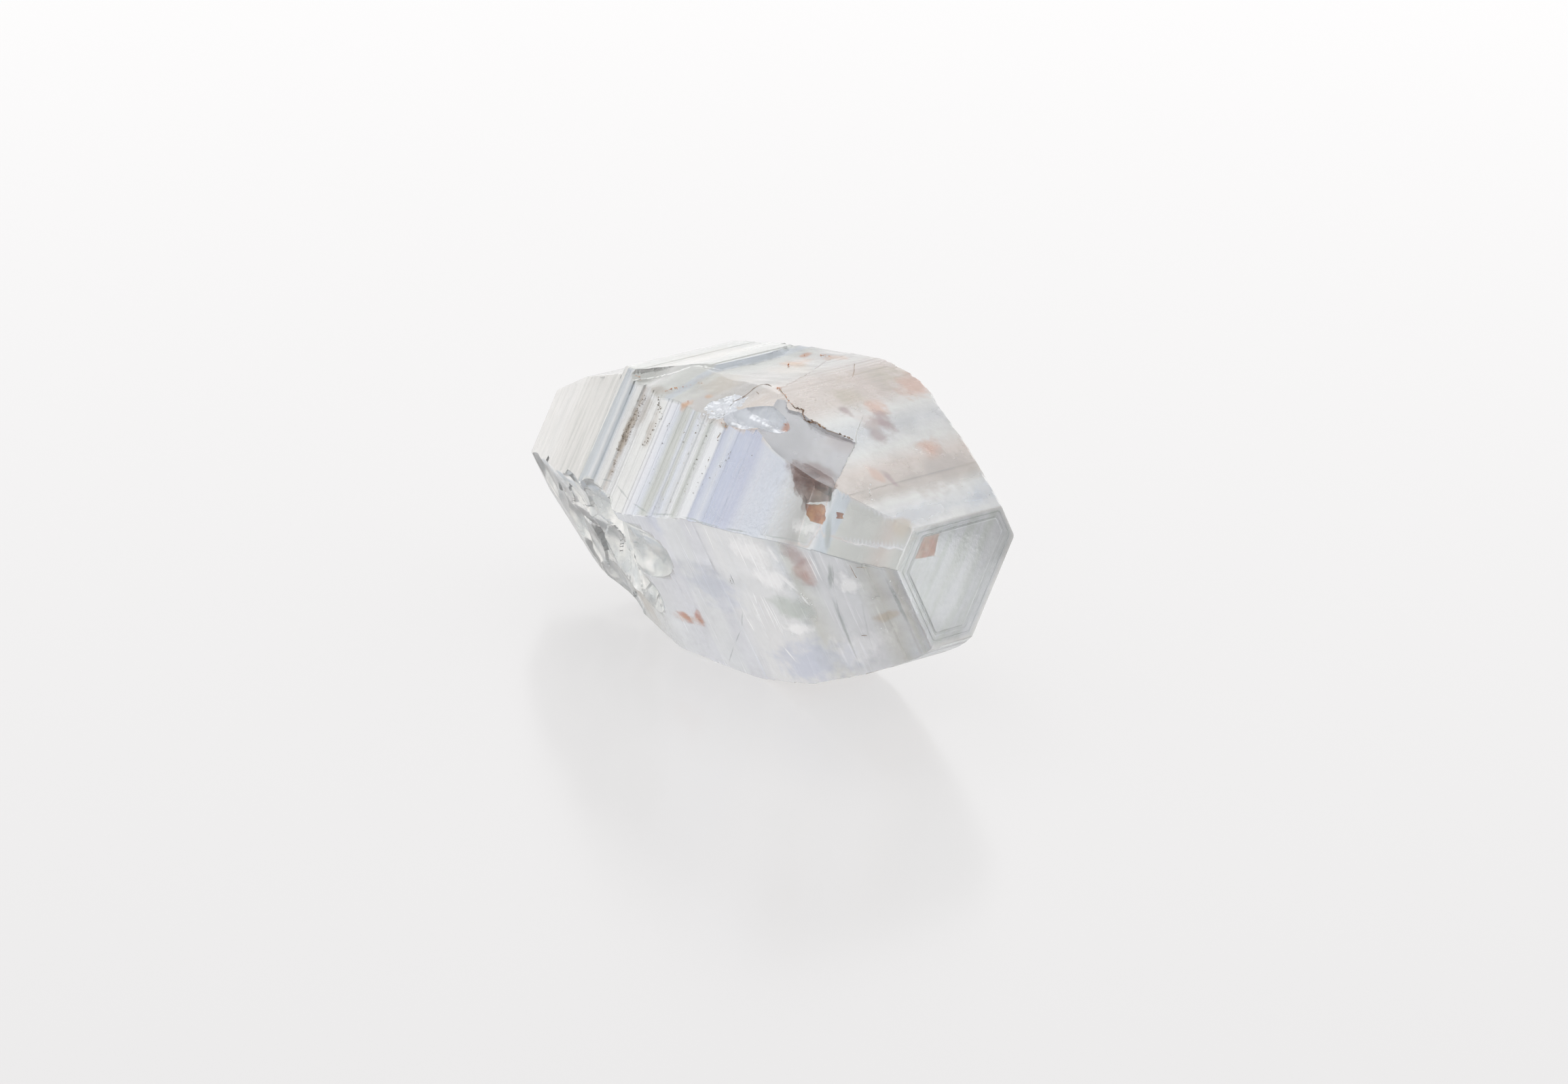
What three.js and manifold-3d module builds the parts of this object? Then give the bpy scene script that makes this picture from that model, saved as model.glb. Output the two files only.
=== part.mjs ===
// A natural sapphire crystal lying on one of its lower faces, in millimetres, +Z up.
//
// It is one grown piece: a six-sided barrel of corundum whose long axis, the c axis, runs nearly
// along X. The barrel narrows to a flat basal end at +X. At -X an older, thinner part of the
// crystal stands out of it and ends in a second, smaller basal end. Growth ledges run round it
// square to the c axis, one long edge is broken off in flat and shell-shaped breaks, and the
// lower side rests flat.

import * as THREE from 'three';
import { ConvexGeometry } from 'three/addons/geometries/ConvexGeometry.js';
import { mergeVertices } from 'three/addons/utils/BufferGeometryUtils.js';
import Module from 'manifold-3d';

// ---- driving dimensions -------------------------------------------------------------------

// The lie of the crystal: the c axis rises towards the basal end, and is rolled a little.
const AXIS_PITCH = THREE.MathUtils.degToRad(3);
const AXIS_ROLL = THREE.MathUtils.degToRad(-2);
const AXIS_HEIGHT = 4.22; // from the surface it lies on to the crystal's reference point
const AXIS_ALONG = 3.05; // the reference point, from the middle of the crystal's length
const AXIS_ACROSS = -0.16; // and from the middle of its width

// The two ends and the joint between the older part and the barrel, along the c axis.
const TAIL_END = -10.55;
const BARREL_START = -5.67;
const BASAL_END = 4.375;

// Each face looks away from the c axis in its own direction, 60 degrees from the next one.
// Its outline gives [place along the axis, distance from the axis], and is straight between.
const BARREL_FACES = [
  {
    turn: 90,
    outline: [[-5.67, 3.2], [-3.3, 3.56], [-1.05, 3.6], [-0.2, 3.37], [1.05, 2.94], [4.375, 1.13]],
  },
  {
    turn: 150,
    outline: [[-5.67, 3.24], [-5.1, 3.46], [-1.05, 4.0], [1.05, 3.92], [2.62, 3.24], [4.375, 1.63]],
  },
  { turn: 210, outline: [[-5.67, 2.84], [-3.5, 3.5], [1.05, 3.17], [2.8, 2.52], [4.375, 1.55]] },
  {
    turn: 270,
    outline: [
      [-5.67, 3.74], [-3.9, 4.02], [-0.9, 4.22], [1.05, 3.87], [3.0, 3.1], [4.0, 2.6], [4.375, 2.23],
    ],
  },
  { turn: 330, outline: [[-5.67, 2.99], [-1.05, 3.54], [1.05, 3.36], [2.62, 2.85], [4.375, 2.07]] },
  {
    turn: 30,
    outline: [
      [-5.67, 3.3], [-1.05, 4.25], [-0.05, 4.28], [0.6, 4.05], [1.05, 3.83], [2.62, 3.17], [4.375, 2.2],
    ],
  },
];
const TAIL_FACES = [
  { turn: 90, outline: [[-10.55, 1.05], [-7.9, 2.28], [-5.2, 3.12]] },
  { turn: 150, outline: [[-10.55, 0.42], [-7.9, 2.2], [-5.2, 3.05]] },
  { turn: 210, outline: [[-10.55, 0.95], [-7.9, 2.15], [-5.2, 3.0]] },
  { turn: 270, outline: [[-10.55, 1.75], [-7.9, 3.1], [-5.2, 3.8]] },
  { turn: 330, outline: [[-10.55, 1.1], [-7.9, 2.35], [-5.2, 2.95]] },
  { turn: 30, outline: [[-10.55, 1.58], [-7.9, 2.63], [-5.2, 3.3]] },
];

// Growth ledges: the crystal stands alternately proud and shy of its outlines by this much.
const LEDGE_SPACING = 0.37;
const LEDGE_RISE = 0.035;
const TAIL_LEDGE_SPACING = 0.62;

// The thick last layer on the top face ends in a riser where the layer stops.
const TOP_LAYER = {
  rise: 0.07,
  depth: 0.3,
  // its plan, as [place along the axis, front side, back side]
  plan: [[-5.67, -1.9, 1.75], [-4.6, -1.6, 1.9], [-3.95, -0.95, 2.1], [-3.4, -0.65, 1.3]],
};

// Broken and healed flats on the upper front edge. Each lies in a plane, given by the way that it
// looks, in the crystal's frame, and its distance from the reference point. Its plan is the area
// that it is cut over, looking down on it: [along the axis, across it].
const CUT_DEPTH = 6;
const CLEAR_FLAT = {
  normal: [-0.03, -0.29, 0.956],
  distance: 3.72,
  plan: [[-9, -9], [9, -9], [9, 9], [-9, 9]],
};
const PARTING_FLAT = {
  normal: [0.398, -0.06, 0.915],
  distance: 3.067,
  plan: [
    [-1.2, -0.95], [0.07, -1.5], [0.35, -1.24], [1.03, -1.12],
    [1.65, -0.6], [2.72, -2.45], [2.75, -4], [-1.2, -4],
  ],
};

// Steeper facets on the upper front face, next to the basal end.
const END_FACET_PLAN = [[1.6, -5], [4.9, -5], [4.9, 0.6], [1.6, 0.6]];
const END_FACETS = [
  { normal: [0.54, -0.72, 0.43], distance: 4.09, plan: END_FACET_PLAN },
  { normal: [0.669, -0.625, 0.402], distance: 4.13, plan: END_FACET_PLAN },
];

// Shell-shaped breaks: a ball pressed in at each place, with its half sizes and its turn in plan.
const SHELL_BREAKS = [
  { at: [-0.25, -2.33, 3.37], size: [1.0, 0.62, 0.5], turn: 20 },
  { at: [-4.3, -5.15, -1.9], size: [2.6, 2.6, 2.8], turn: 0 },
  { at: [-6.0, -4.35, -2.5], size: [2.4, 2.4, 2.5], turn: 15 },
  { at: [-7.2, -3.05, -2.9], size: [2.1, 2.0, 1.9], turn: 0 },
  { at: [-8.55, -2.5, -1.9], size: [1.7, 1.8, 1.9], turn: -20 },
  { at: [-9.95, -1.75, -1.4], size: [1.2, 1.3, 1.4], turn: 0 },
];

// The basal end carries a low raised hexagon with a groove round it. The groove's middle lies this
// far in from each side, and its sides are at these shares of that.
const BASAL_GROOVE = {
  insets: [0.27, 0.47, 0.29, 0.35, 0.45, 0.27],
  outside: 0.92,
  inside: 1.14,
  depth: 0.02,
};

// ---- solids --------------------------------------------------------------------------------

const wasm = await Module();
wasm.setup();

function toSolid(geometry) {
  const bare = geometry.clone();
  bare.deleteAttribute('normal');
  bare.deleteAttribute('uv');
  const merged = mergeVertices(bare, 1e-5);
  return new wasm.Manifold(new wasm.Mesh({
    numProp: 3,
    vertProperties: new Float32Array(merged.attributes.position.array),
    triVerts: new Uint32Array(merged.index.array),
  }));
}

function toGeometry(solid) {
  const mesh = solid.getMesh();
  const geometry = new THREE.BufferGeometry();
  geometry.setAttribute('position', new THREE.BufferAttribute(new Float32Array(mesh.vertProperties), 3));
  geometry.setIndex(new THREE.BufferAttribute(new Uint32Array(mesh.triVerts), 1));
  return geometry;
}

// ---- the grown crystal ---------------------------------------------------------------------

// A face's distance from the axis at one place along it.
function reach(face, along) {
  const points = face.outline;
  const next = points.findIndex(([place]) => place >= along);
  if (next === -1) return points.at(-1)[1];
  if (next === 0) return points[0][1];
  const [x0, r0] = points[next - 1];
  const [x1, r1] = points[next];
  return r0 + (r1 - r0) * (along - x0) / (x1 - x0);
}

// The six corners of the crystal's section: where each face meets the one after it.
function section(faces, along, proud) {
  return faces.map((face, i) => {
    const neighbour = faces[(i + 1) % faces.length];
    const a = THREE.MathUtils.degToRad(face.turn);
    const b = THREE.MathUtils.degToRad(neighbour.turn);
    const ra = reach(face, along) + proud;
    const rb = reach(neighbour, along) + proud;
    const across = (ra * Math.sin(b) - rb * Math.sin(a)) / Math.sin(b - a);
    const up = (rb * Math.cos(a) - ra * Math.cos(b)) / Math.sin(b - a);
    return new THREE.Vector3(along, across, up);
  });
}

// One growth band is the convex solid between two sections.
function band(faces, from, to, proud) {
  const bends = faces.flatMap((face) => face.outline.map(([place]) => place));
  const places = [from, to, ...bends.filter((place) => place > from && place < to)];
  return toSolid(new ConvexGeometry(places.flatMap((place) => section(faces, place, proud))));
}

// A stretch of the crystal, as bands whose height over the outlines changes from one to the next.
function grow(faces, from, to, spacing) {
  const count = Math.round((to - from) / spacing);
  const bands = [];
  for (let i = 0; i < count; i += 1) {
    const start = from + (to - from) * i / count;
    const end = from + (to - from) * (i + 1) / count;
    const proud = LEDGE_RISE * Math.sin(2.4 * i + 0.9 * Math.sin(1.7 * i));
    bands.push(band(faces, start, end, proud));
  }
  return bands.reduce((whole, piece) => whole.add(piece));
}

const barrel = grow(BARREL_FACES, BARREL_START, BASAL_END, LEDGE_SPACING);
const tail = grow(TAIL_FACES, TAIL_END, BARREL_START + 0.4, TAIL_LEDGE_SPACING);

// The thick top layer follows the top face's outline from the barrel's start to its riser.
function topLayer() {
  const corners = TOP_LAYER.plan.flatMap(([along, front, back]) => {
    const height = reach(BARREL_FACES[0], along);
    const backSlope = TOP_LAYER.depth / Math.tan(THREE.MathUtils.degToRad(60));
    return [
      new THREE.Vector3(along, front, height - TOP_LAYER.depth),
      new THREE.Vector3(along, front, height + TOP_LAYER.rise),
      new THREE.Vector3(along, back, height + TOP_LAYER.rise),
      new THREE.Vector3(along, back + backSlope, height - TOP_LAYER.depth),
    ];
  });
  return toSolid(new ConvexGeometry(corners));
}

// ---- what was broken off or never filled -----------------------------------------------------

// What is cut off over a flat: its plan is extruded upwards, then the base is tilted to its plane.
function overFlat({ normal, distance, plan }) {
  const shape = new THREE.Shape(plan.map(([along, across]) => new THREE.Vector2(along, across)));
  const geometry = new THREE.ExtrudeGeometry(shape, { depth: CUT_DEPTH, bevelEnabled: false });
  const away = new THREE.Vector3(...normal).normalize();
  const places = geometry.attributes.position;
  for (let i = 0; i < places.count; i += 1) {
    const base = (distance - away.x * places.getX(i) - away.y * places.getY(i)) / away.z;
    places.setZ(i, places.getZ(i) + base);
  }
  return toSolid(geometry);
}

function shellBreak({ at, size, turn }) {
  const ball = new THREE.IcosahedronGeometry(1, 9);
  ball.scale(...size);
  ball.rotateZ(THREE.MathUtils.degToRad(turn));
  ball.translate(...at);
  return toSolid(ball);
}

// The groove round the raised hexagon on the basal end.
function basalGroove() {
  const from = BASAL_END - BASAL_GROOVE.depth;
  const ring = (share) => {
    const faces = BARREL_FACES.map((face, i) => ({
      turn: face.turn,
      outline: [[BASAL_END, reach(face, BASAL_END) - BASAL_GROOVE.insets[i] * share]],
    }));
    return toSolid(new ConvexGeometry([
      ...section(faces, BASAL_END, 0).map((corner) => corner.setX(from)),
      ...section(faces, BASAL_END, 0).map((corner) => corner.setX(BASAL_END + 1)),
    ]));
  };
  return ring(BASAL_GROOVE.outside).subtract(ring(BASAL_GROOVE.inside));
}

let crystal = barrel.add(tail).subtract(overFlat(CLEAR_FLAT)).add(topLayer());
[PARTING_FLAT, ...END_FACETS].forEach((flat) => {
  crystal = crystal.subtract(overFlat(flat));
});
SHELL_BREAKS.forEach((place) => {
  crystal = crystal.subtract(shellBreak(place));
});
crystal = crystal.subtract(basalGroove());

// ---- how it lies -----------------------------------------------------------------------------

const lie = new THREE.Matrix4().makeRotationFromEuler(new THREE.Euler(AXIS_ROLL, -AXIS_PITCH, 0, 'YXZ'));
lie.setPosition(AXIS_ALONG, AXIS_ACROSS, AXIS_HEIGHT);
const lying = toGeometry(crystal).applyMatrix4(lie);

// The lowest face is worn flat where it rests.
const below = new THREE.BoxGeometry(30, 20, 4).translate(0, 0, -2);
const resting = toGeometry(toSolid(lying).subtract(toSolid(below)));

const corundum = new THREE.MeshStandardMaterial({
  color: 0xcfd8e0,
  roughness: 0.15,
  metalness: 0,
  transparent: true,
  opacity: 0.6,
  flatShading: true,
});

const sapphire = new THREE.Mesh(resting, corundum);
sapphire.name = 'sapphire_crystal';

const model = new THREE.Group();
model.add(sapphire);

export default model;
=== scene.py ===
from math import atan2, cos, hypot, pi, radians, sin

import bmesh
import bpy
import numpy as np
from mathutils import Euler, Matrix, Vector
from mathutils.bvhtree import BVHTree
from mathutils.geometry import tessellate_polygon


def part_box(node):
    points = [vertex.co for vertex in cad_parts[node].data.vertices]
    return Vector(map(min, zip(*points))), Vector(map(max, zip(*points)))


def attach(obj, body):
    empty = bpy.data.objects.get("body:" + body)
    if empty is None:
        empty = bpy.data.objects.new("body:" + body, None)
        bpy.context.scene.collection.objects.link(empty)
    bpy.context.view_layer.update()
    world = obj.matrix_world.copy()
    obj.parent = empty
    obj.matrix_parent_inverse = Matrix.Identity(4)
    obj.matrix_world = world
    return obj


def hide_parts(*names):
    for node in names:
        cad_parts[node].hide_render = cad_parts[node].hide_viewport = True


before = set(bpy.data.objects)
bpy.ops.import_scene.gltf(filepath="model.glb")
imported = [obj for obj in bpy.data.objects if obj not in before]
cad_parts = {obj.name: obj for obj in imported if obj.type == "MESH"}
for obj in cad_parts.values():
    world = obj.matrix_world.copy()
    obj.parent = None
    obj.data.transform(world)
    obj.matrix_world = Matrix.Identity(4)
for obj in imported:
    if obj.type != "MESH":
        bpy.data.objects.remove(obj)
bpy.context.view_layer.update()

# ---- How the crystal lies --------------------------------------------------------------------
# The crystal is worked out in its own frame, in millimetres: x along its c axis, u across it and
# w up. The c axis rises a little towards the basal end, and the crystal is rolled a little.

MM = 0.001
CRYSTAL = "sapphire_crystal"
low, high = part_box(CRYSTAL)
middle = (low + high) / 2
REFERENCE = Vector((middle.x + 3.05 * MM, middle.y - 0.16 * MM, low.z + 4.22 * MM))
LIE = Euler((radians(-2), radians(-3), 0))
lie = Matrix.LocRotScale(REFERENCE, LIE, Vector((MM, MM, MM)))


# ---- Camera ----------------------------------------------------------------------------------
# A long lens, close in front of the crystal's right end and a little above it, held almost level.

AZIMUTH, ELEVATION, TILT = radians(45.5), radians(21.5), 0.041
FOCAL_LENGTH, SENSOR = 140.3, 36.0
AWAY = 157.5 * MM          # from the lens to the crystal's reference point
ASIDE, BELOW = 1.076 * MM, 0.5425 * MM    # where the lens axis passes the reference point

level = Vector((cos(AZIMUTH), sin(AZIMUTH), 0))
towards_lens = Vector((sin(AZIMUTH) * cos(ELEVATION), -cos(AZIMUTH) * cos(ELEVATION), sin(ELEVATION)))
upright = towards_lens.cross(level)
right = cos(TILT) * level + sin(TILT) * upright
up = cos(TILT) * upright - sin(TILT) * level

lens = bpy.data.cameras.new("camera")
lens.lens = FOCAL_LENGTH
lens.sensor_width = SENSOR
lens.clip_start = 0.01
lens.clip_end = 10
camera = bpy.data.objects.new("camera", lens)
turn = Matrix((right, up, towards_lens)).transposed().to_4x4()
camera.matrix_world = Matrix.Translation(REFERENCE + towards_lens * AWAY - right * ASIDE - up * BELOW) @ turn
bpy.context.collection.objects.link(camera)
bpy.context.scene.camera = camera


# ---- The grown crystal -----------------------------------------------------------------------
# A barrel of corundum with six faces 60 degrees apart, and an older, thinner part at its far end.
# It grew in thin layers, whose edges run round it square to the c axis as ledges and fine lines.

TAIL_END, BARREL_START, BASAL_END = -10.55, -5.67, 4.375
RING_STEP = 0.023
FACE_TURNS = (90, 150, 210, 270, 330, 30)       # top, upper front, lower front, and on round
TOP, UPPER_FRONT, LOWER_FRONT = range(3)
POINTS_ACROSS = (26, 18, 22, 8, 8, 11)          # each face's share of a ring's points
EDGE_ROUNDING = 0.09       # radius of the worn edges between the faces
SETBACK = 0.577            # where the rounding of a 120 degree corner starts, for each mm of its radius
MOST_SETBACK = 0.3         # the most of a side that the rounding at one end of it takes

# Each face's distance from the c axis, as [place along the axis, distance].
BARREL_OUTLINES = (
    ((-5.67, 3.2), (-3.3, 3.56), (-1.05, 3.6), (-0.2, 3.37), (1.05, 2.94), (4.375, 1.13)),
    ((-5.67, 3.24), (-5.1, 3.46), (-1.05, 4.0), (1.05, 3.92), (2.62, 3.24), (4.375, 1.63)),
    ((-5.67, 2.84), (-3.5, 3.5), (1.05, 3.17), (2.8, 2.52), (4.375, 1.55)),
    ((-5.67, 3.74), (-3.9, 4.02), (-0.9, 4.22), (1.05, 3.87), (3.0, 3.1), (4.0, 2.6), (4.375, 2.23)),
    ((-5.67, 2.99), (-1.05, 3.54), (1.05, 3.36), (2.62, 2.85), (4.375, 2.07)),
    ((-5.67, 3.3), (-1.05, 4.25), (-0.05, 4.28), (0.6, 4.05), (1.05, 3.83), (2.62, 3.17), (4.375, 2.2)),
)
TAIL_OUTLINES = (
    ((-10.55, 1.05), (-7.9, 2.28), (-5.2, 3.12)),
    ((-10.55, 0.42), (-7.9, 2.2), (-5.2, 3.05)),
    ((-10.55, 0.95), (-7.9, 2.15), (-5.2, 3.0)),
    ((-10.55, 1.75), (-7.9, 3.1), (-5.2, 3.8)),
    ((-10.55, 1.1), (-7.9, 2.35), (-5.2, 2.95)),
    ((-10.55, 1.58), (-7.9, 2.63), (-5.2, 3.3)),
)
BEND_SOFTNESS = 0.3        # how far each way the outlines' bends are rounded
BEND_SAMPLES = 9           # how many places are averaged to round them

# The strongest ledges of each face, as [place along the axis, rise].
STEP_LENGTH = 0.03
MAIN_LEDGES = (
    ((-5.45, 0.012), (-4.95, -0.012), (-4.75, 0.02), (-4.1, 0.01), (-3.55, -0.02), (3.0, -0.02)),
    ((-5.35, 0.02), (-4.92, -0.03), (-4.78, 0.025), (-4.47, -0.05), (-4.18, 0.04), (-3.15, -0.02),
     (-2.78, 0.02), (-2.52, -0.02), (-2.16, 0.02), (-2.03, -0.015), (-1.86, 0.015), (-1.66, -0.015),
     (-1.52, 0.02), (-1.33, -0.025), (-1.06, 0.03), (-0.76, -0.03), (-0.47, 0.02), (-0.27, -0.02),
     (0.9, 0.015)),
    ((-0.6, -0.015), (1.3, 0.015), (2.75, -0.03), (3.75, -0.02), (4.1, -0.03)),
    ((-2.5, 0.03), (0.4, -0.03), (2.7, -0.02)),
    ((-3.4, 0.03), (-0.9, -0.04), (1.9, -0.02)),
    ((-4.9, -0.03), (-4.6, 0.05), (-3.95, -0.14), (-3.5, 0.08), (-3.2, 0.08), (-1.2, 0.04),
     (0.0, 0.03), (0.9, -0.05), (2.6, -0.02)),
)
# How strongly the fine ledges show on each face, as [place along the axis, strength].
LEDGE_STRENGTHS = (
    ((-5.7, 0.06), (-3.4, 0.09), (-3.2, 0.04), (-1.4, 0.05), (-1.2, 0.12), (0.3, 0.06), (1.0, 0.02)),
    ((-5.7, 0.06), (-4.5, 0.06), (-4.4, 0.3), (0.3, 0.2), (0.7, 0.05), (2.6, 0.04)),
    ((-3.0, 0.08), (0.8, 0.08), (1.4, 0.03), (4.0, 0.08)),
    ((-3.0, 0.3), (4.0, 0.3)),
    ((-3.0, 0.35), (4.0, 0.3)),
    ((-3.0, 0.35), (4.0, 0.3)),
)


def reach(outline, places):
    """A face's distance from the axis, with the bends of its outline rounded."""
    points = np.array(outline)
    soft = np.minimum(BEND_SOFTNESS, np.minimum(places - points[0, 0], points[-1, 0] - places))
    soft = np.maximum(soft, 0)
    nearby = [np.interp(places + share * soft, points[:, 0], points[:, 1])
              for share in np.linspace(-1, 1, BEND_SAMPLES)]
    return np.mean(nearby, axis=0)


def ledges_so_far(ledges, places):
    """How much a face has stepped out or in by each place along it."""
    return sum(rise * np.clip((places - at) / STEP_LENGTH, 0, 1) for at, rise in ledges)


def corners(distances):
    """Where each face meets the next one, from the six distances at each place: (places, 6, 2)."""
    turns = np.radians(FACE_TURNS)
    after = np.roll(turns, -1)
    next_distances = np.roll(distances, -1, axis=-1)
    spread = np.sin(after - turns)
    across = (distances * np.sin(after) - next_distances * np.sin(turns)) / spread
    upwards = (next_distances * np.cos(turns) - distances * np.cos(after)) / spread
    return np.stack([across, upwards], axis=-1)


def round_the_section(points, rounding):
    """Points along each face and over the rounded corner after it, going round the section."""
    sides = []
    for face, count in enumerate(POINTS_ACROSS):
        start, end, after = (points[:, (face + step) % 6, None, :] for step in (-1, 0, 1))
        length = np.linalg.norm(end - start, axis=-1, keepdims=True)
        setback = np.minimum(rounding * SETBACK / np.maximum(length, 1e-6), MOST_SETBACK)
        share = np.linspace(0, 1, count - 1)[None, :, None]
        share = setback + share * (1 - 2 * setback)
        next_length = np.linalg.norm(after - end, axis=-1, keepdims=True)
        next_setback = np.minimum(rounding * SETBACK / np.maximum(next_length, 1e-6), MOST_SETBACK)
        leave = end + (start - end) * setback
        arrive = end + (after - end) * next_setback
        sides.append(start * (1 - share) + end * share)
        sides.append((leave + arrive) / 4 + end / 2)
    return np.concatenate(sides, axis=1)


tail_places = np.arange(TAIL_END, BARREL_START, RING_STEP)
barrel_places = np.arange(BARREL_START, BASAL_END, RING_STEP)
tail_distances = np.stack([reach(outline, tail_places) for outline in TAIL_OUTLINES], axis=1)
barrel_distances = np.stack([reach(outline, barrel_places) + ledges_so_far(ledges, barrel_places)
                             for outline, ledges in zip(BARREL_OUTLINES, MAIN_LEDGES)], axis=1)

# The basal end: a bevelled rim, a groove, and the low raised hexagon inside it, as
# [drop under the end, share of the way from the rim to the inner line].
END_STEPS = ((0.0, 0.1), (0.0, 0.47), (0.01, 0.5), (0.01, 0.56), (0.0, 0.6), (0.0, 0.88), (0.012, 0.95),
             (0.012, 1.1), (0.0, 1.2))
# Its lines, as [steps, the faces they are strong beside, strength there, strength elsewhere].
END_LINES = (
    ((6, 7), (TOP, UPPER_FRONT, LOWER_FRONT), 1.0, 0.2),
    ((2, 3), (TOP,), 0.8, 0.15),
)
END_INSETS = np.array((0.27, 0.47, 0.29, 0.35, 0.45, 0.27))
END_MIDDLE = (0.3, -0.4)
END_FILL = 0.85            # the last ring's share of the way to the middle
turns = np.radians(FACE_TURNS)
middle_distances = np.cos(turns) * END_MIDDLE[0] + np.sin(turns) * END_MIDDLE[1]
last = barrel_distances[-1]
end_distances = [last - END_INSETS * share for drop, share in END_STEPS]
end_distances.append(end_distances[-1] * (1 - END_FILL) + middle_distances * END_FILL)
end_places = np.array([BASAL_END - drop for drop, share in END_STEPS] + [BASAL_END])

places = np.concatenate([tail_places, barrel_places, end_places])
distances = np.concatenate([tail_distances, barrel_distances, np.array(end_distances)])
ring = round_the_section(corners(distances), EDGE_ROUNDING)
outward = round_the_section(corners(np.ones((1, 6))), EDGE_ROUNDING)[0]
facing = np.repeat(np.arange(6), POINTS_ACROSS)
strength = np.stack([np.interp(places, *np.array(LEDGE_STRENGTHS[f]).T) for f in facing], axis=1)
strength[-len(end_places):] = 0
strength[0] = 0

rings, around = ring.shape[:2]
end_lines = np.zeros((rings, around))
first_step = rings - len(end_places)
for line_steps, faces, strong, faint in END_LINES:
    for step in line_steps:
        end_lines[first_step + step] = np.where(np.isin(facing, faces), strong, faint)
vertices = np.concatenate([np.broadcast_to(places[:, None, None], (rings, around, 1)), ring], axis=2)
quads = []
for step in range(rings - 1):
    here, there = step * around, (step + 1) * around
    quads += [(here + i, here + (i + 1) % around, there + (i + 1) % around, there + i) for i in range(around)]
start_cap = list(range(around))[::-1]
end_cap = [(rings - 1) * around + i for i in range(around)]

grown = bpy.data.meshes.new("grown crystal")
grown.from_pydata(vertices.reshape(-1, 3).tolist(), [], [*quads, start_cap, end_cap])
for name, values in (
    ("along", np.repeat(places, around)),
    ("facing", np.tile(facing, rings)),
    ("ledging", strength.reshape(-1)),
    ("upper front", np.tile(facing == UPPER_FRONT, rings)),
    ("lower front", np.tile(facing == LOWER_FRONT, rings)),
    ("basal end", np.repeat(np.arange(rings) > first_step, around)),
    ("end line", end_lines.reshape(-1)),
):
    grown.attributes.new(name, "FLOAT", "POINT").data.foreach_set("value", values.astype(np.float32))
outward_all = np.concatenate([np.zeros((rings * around, 1)), np.tile(outward, (rings, 1))], axis=1)
grown.attributes.new("outward", "FLOAT_VECTOR", "POINT").data.foreach_set(
    "vector", outward_all.astype(np.float32).reshape(-1))
crystal = bpy.data.objects.new("sapphire", grown)
bpy.context.collection.objects.link(crystal)


class Wire:
    """One output of a node. Arithmetic on a wire adds Math nodes to its tree."""

    def __init__(self, tree, socket):
        self.tree, self.socket = tree, socket

    def math(self, operation, *others):
        return self.tree.add("ShaderNodeMath", {"operation": operation}, dict(enumerate((self, *others))))

    def out(self, name):
        return Wire(self.tree, self.socket.node.outputs[name])

    def __add__(self, other):
        return self.math("ADD", other)

    def __mul__(self, other):
        return self.math("MULTIPLY", other)

    def __sub__(self, other):
        return self.math("SUBTRACT", other)

    def __truediv__(self, other):
        return self.math("DIVIDE", other)

    def __rsub__(self, other):
        return self.tree.add("ShaderNodeMath", {"operation": "SUBTRACT"}, {0: other, 1: self})

    __radd__ = __add__
    __rmul__ = __mul__


class Tree:
    """A node tree, and the one way in which nodes are added to it."""

    def __init__(self, nodes):
        self.nodes = nodes

    def add(self, kind, settings=None, values=None, output=0):
        node = self.nodes.nodes.new(kind)
        for name, setting in (settings or {}).items():
            if name == "stops":
                ramp = node.color_ramp
                for index, (place, colour) in enumerate(setting):
                    stop = ramp.elements[index] if index < 2 else ramp.elements.new(place)
                    stop.position, stop.color = place, colour
            else:
                setattr(node, name, setting)
        for key, value in (values or {}).items():
            if isinstance(value, Wire):
                self.nodes.links.new(value.socket, node.inputs[key])
            else:
                node.inputs[key].default_value = value
        return Wire(self, node.outputs[output]) if node.outputs else None

    def finish(self, geometry, material):
        """Ends a tree with real geometry in one material."""
        real = self.add("GeometryNodeRealizeInstances", values={"Geometry": geometry})
        done = self.add("GeometryNodeSetMaterial", values={"Geometry": real, "Material": material})
        self.add("NodeGroupOutput", values={0: done})


def geometry_tree(name, inputs):
    """A Geometry Nodes tree with the named inputs. Returns it with a wire from each of them."""
    group = bpy.data.node_groups.new(name, "GeometryNodeTree")
    group.interface.new_socket("Geometry", in_out="OUTPUT", socket_type="NodeSocketGeometry")
    group.interface.new_socket("Geometry", in_out="INPUT", socket_type="NodeSocketGeometry")
    group.interface.new_socket("Material", in_out="INPUT", socket_type="NodeSocketMaterial")
    for label in inputs:
        group.interface.new_socket(label, in_out="INPUT", socket_type="NodeSocketFloat")
    tree = Tree(group)
    first = tree.add("NodeGroupInput")
    return tree, {label: first.out(label) for label in ("Geometry", "Material", *inputs)}


def keep_result(piece):
    """The piece's modifiers are worked out, kept as its plain mesh, and removed."""
    evaluated = piece.evaluated_get(bpy.context.evaluated_depsgraph_get())
    made = bpy.data.meshes.new_from_object(evaluated)
    piece.modifiers.clear()
    old = piece.data
    piece.data = made
    made.name = piece.name
    bpy.data.meshes.remove(old)


def grow_by(piece, tree, settings):
    """Runs a tree on a piece with these inputs, and keeps what it makes as the piece's plain mesh."""
    modifier = piece.modifiers.new(tree.nodes.name, "NODES")
    modifier.node_group = tree.nodes
    for item in tree.nodes.interface.items_tree:
        if item.in_out == "INPUT" and item.name in settings:
            modifier[item.identifier] = settings[item.name]
    keep_result(piece)
    piece.data.materials.clear()
    piece.data.materials.append(settings["Material"])
    piece.data.polygons.foreach_set("material_index", np.zeros(len(piece.data.polygons), dtype=np.int32))


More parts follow.
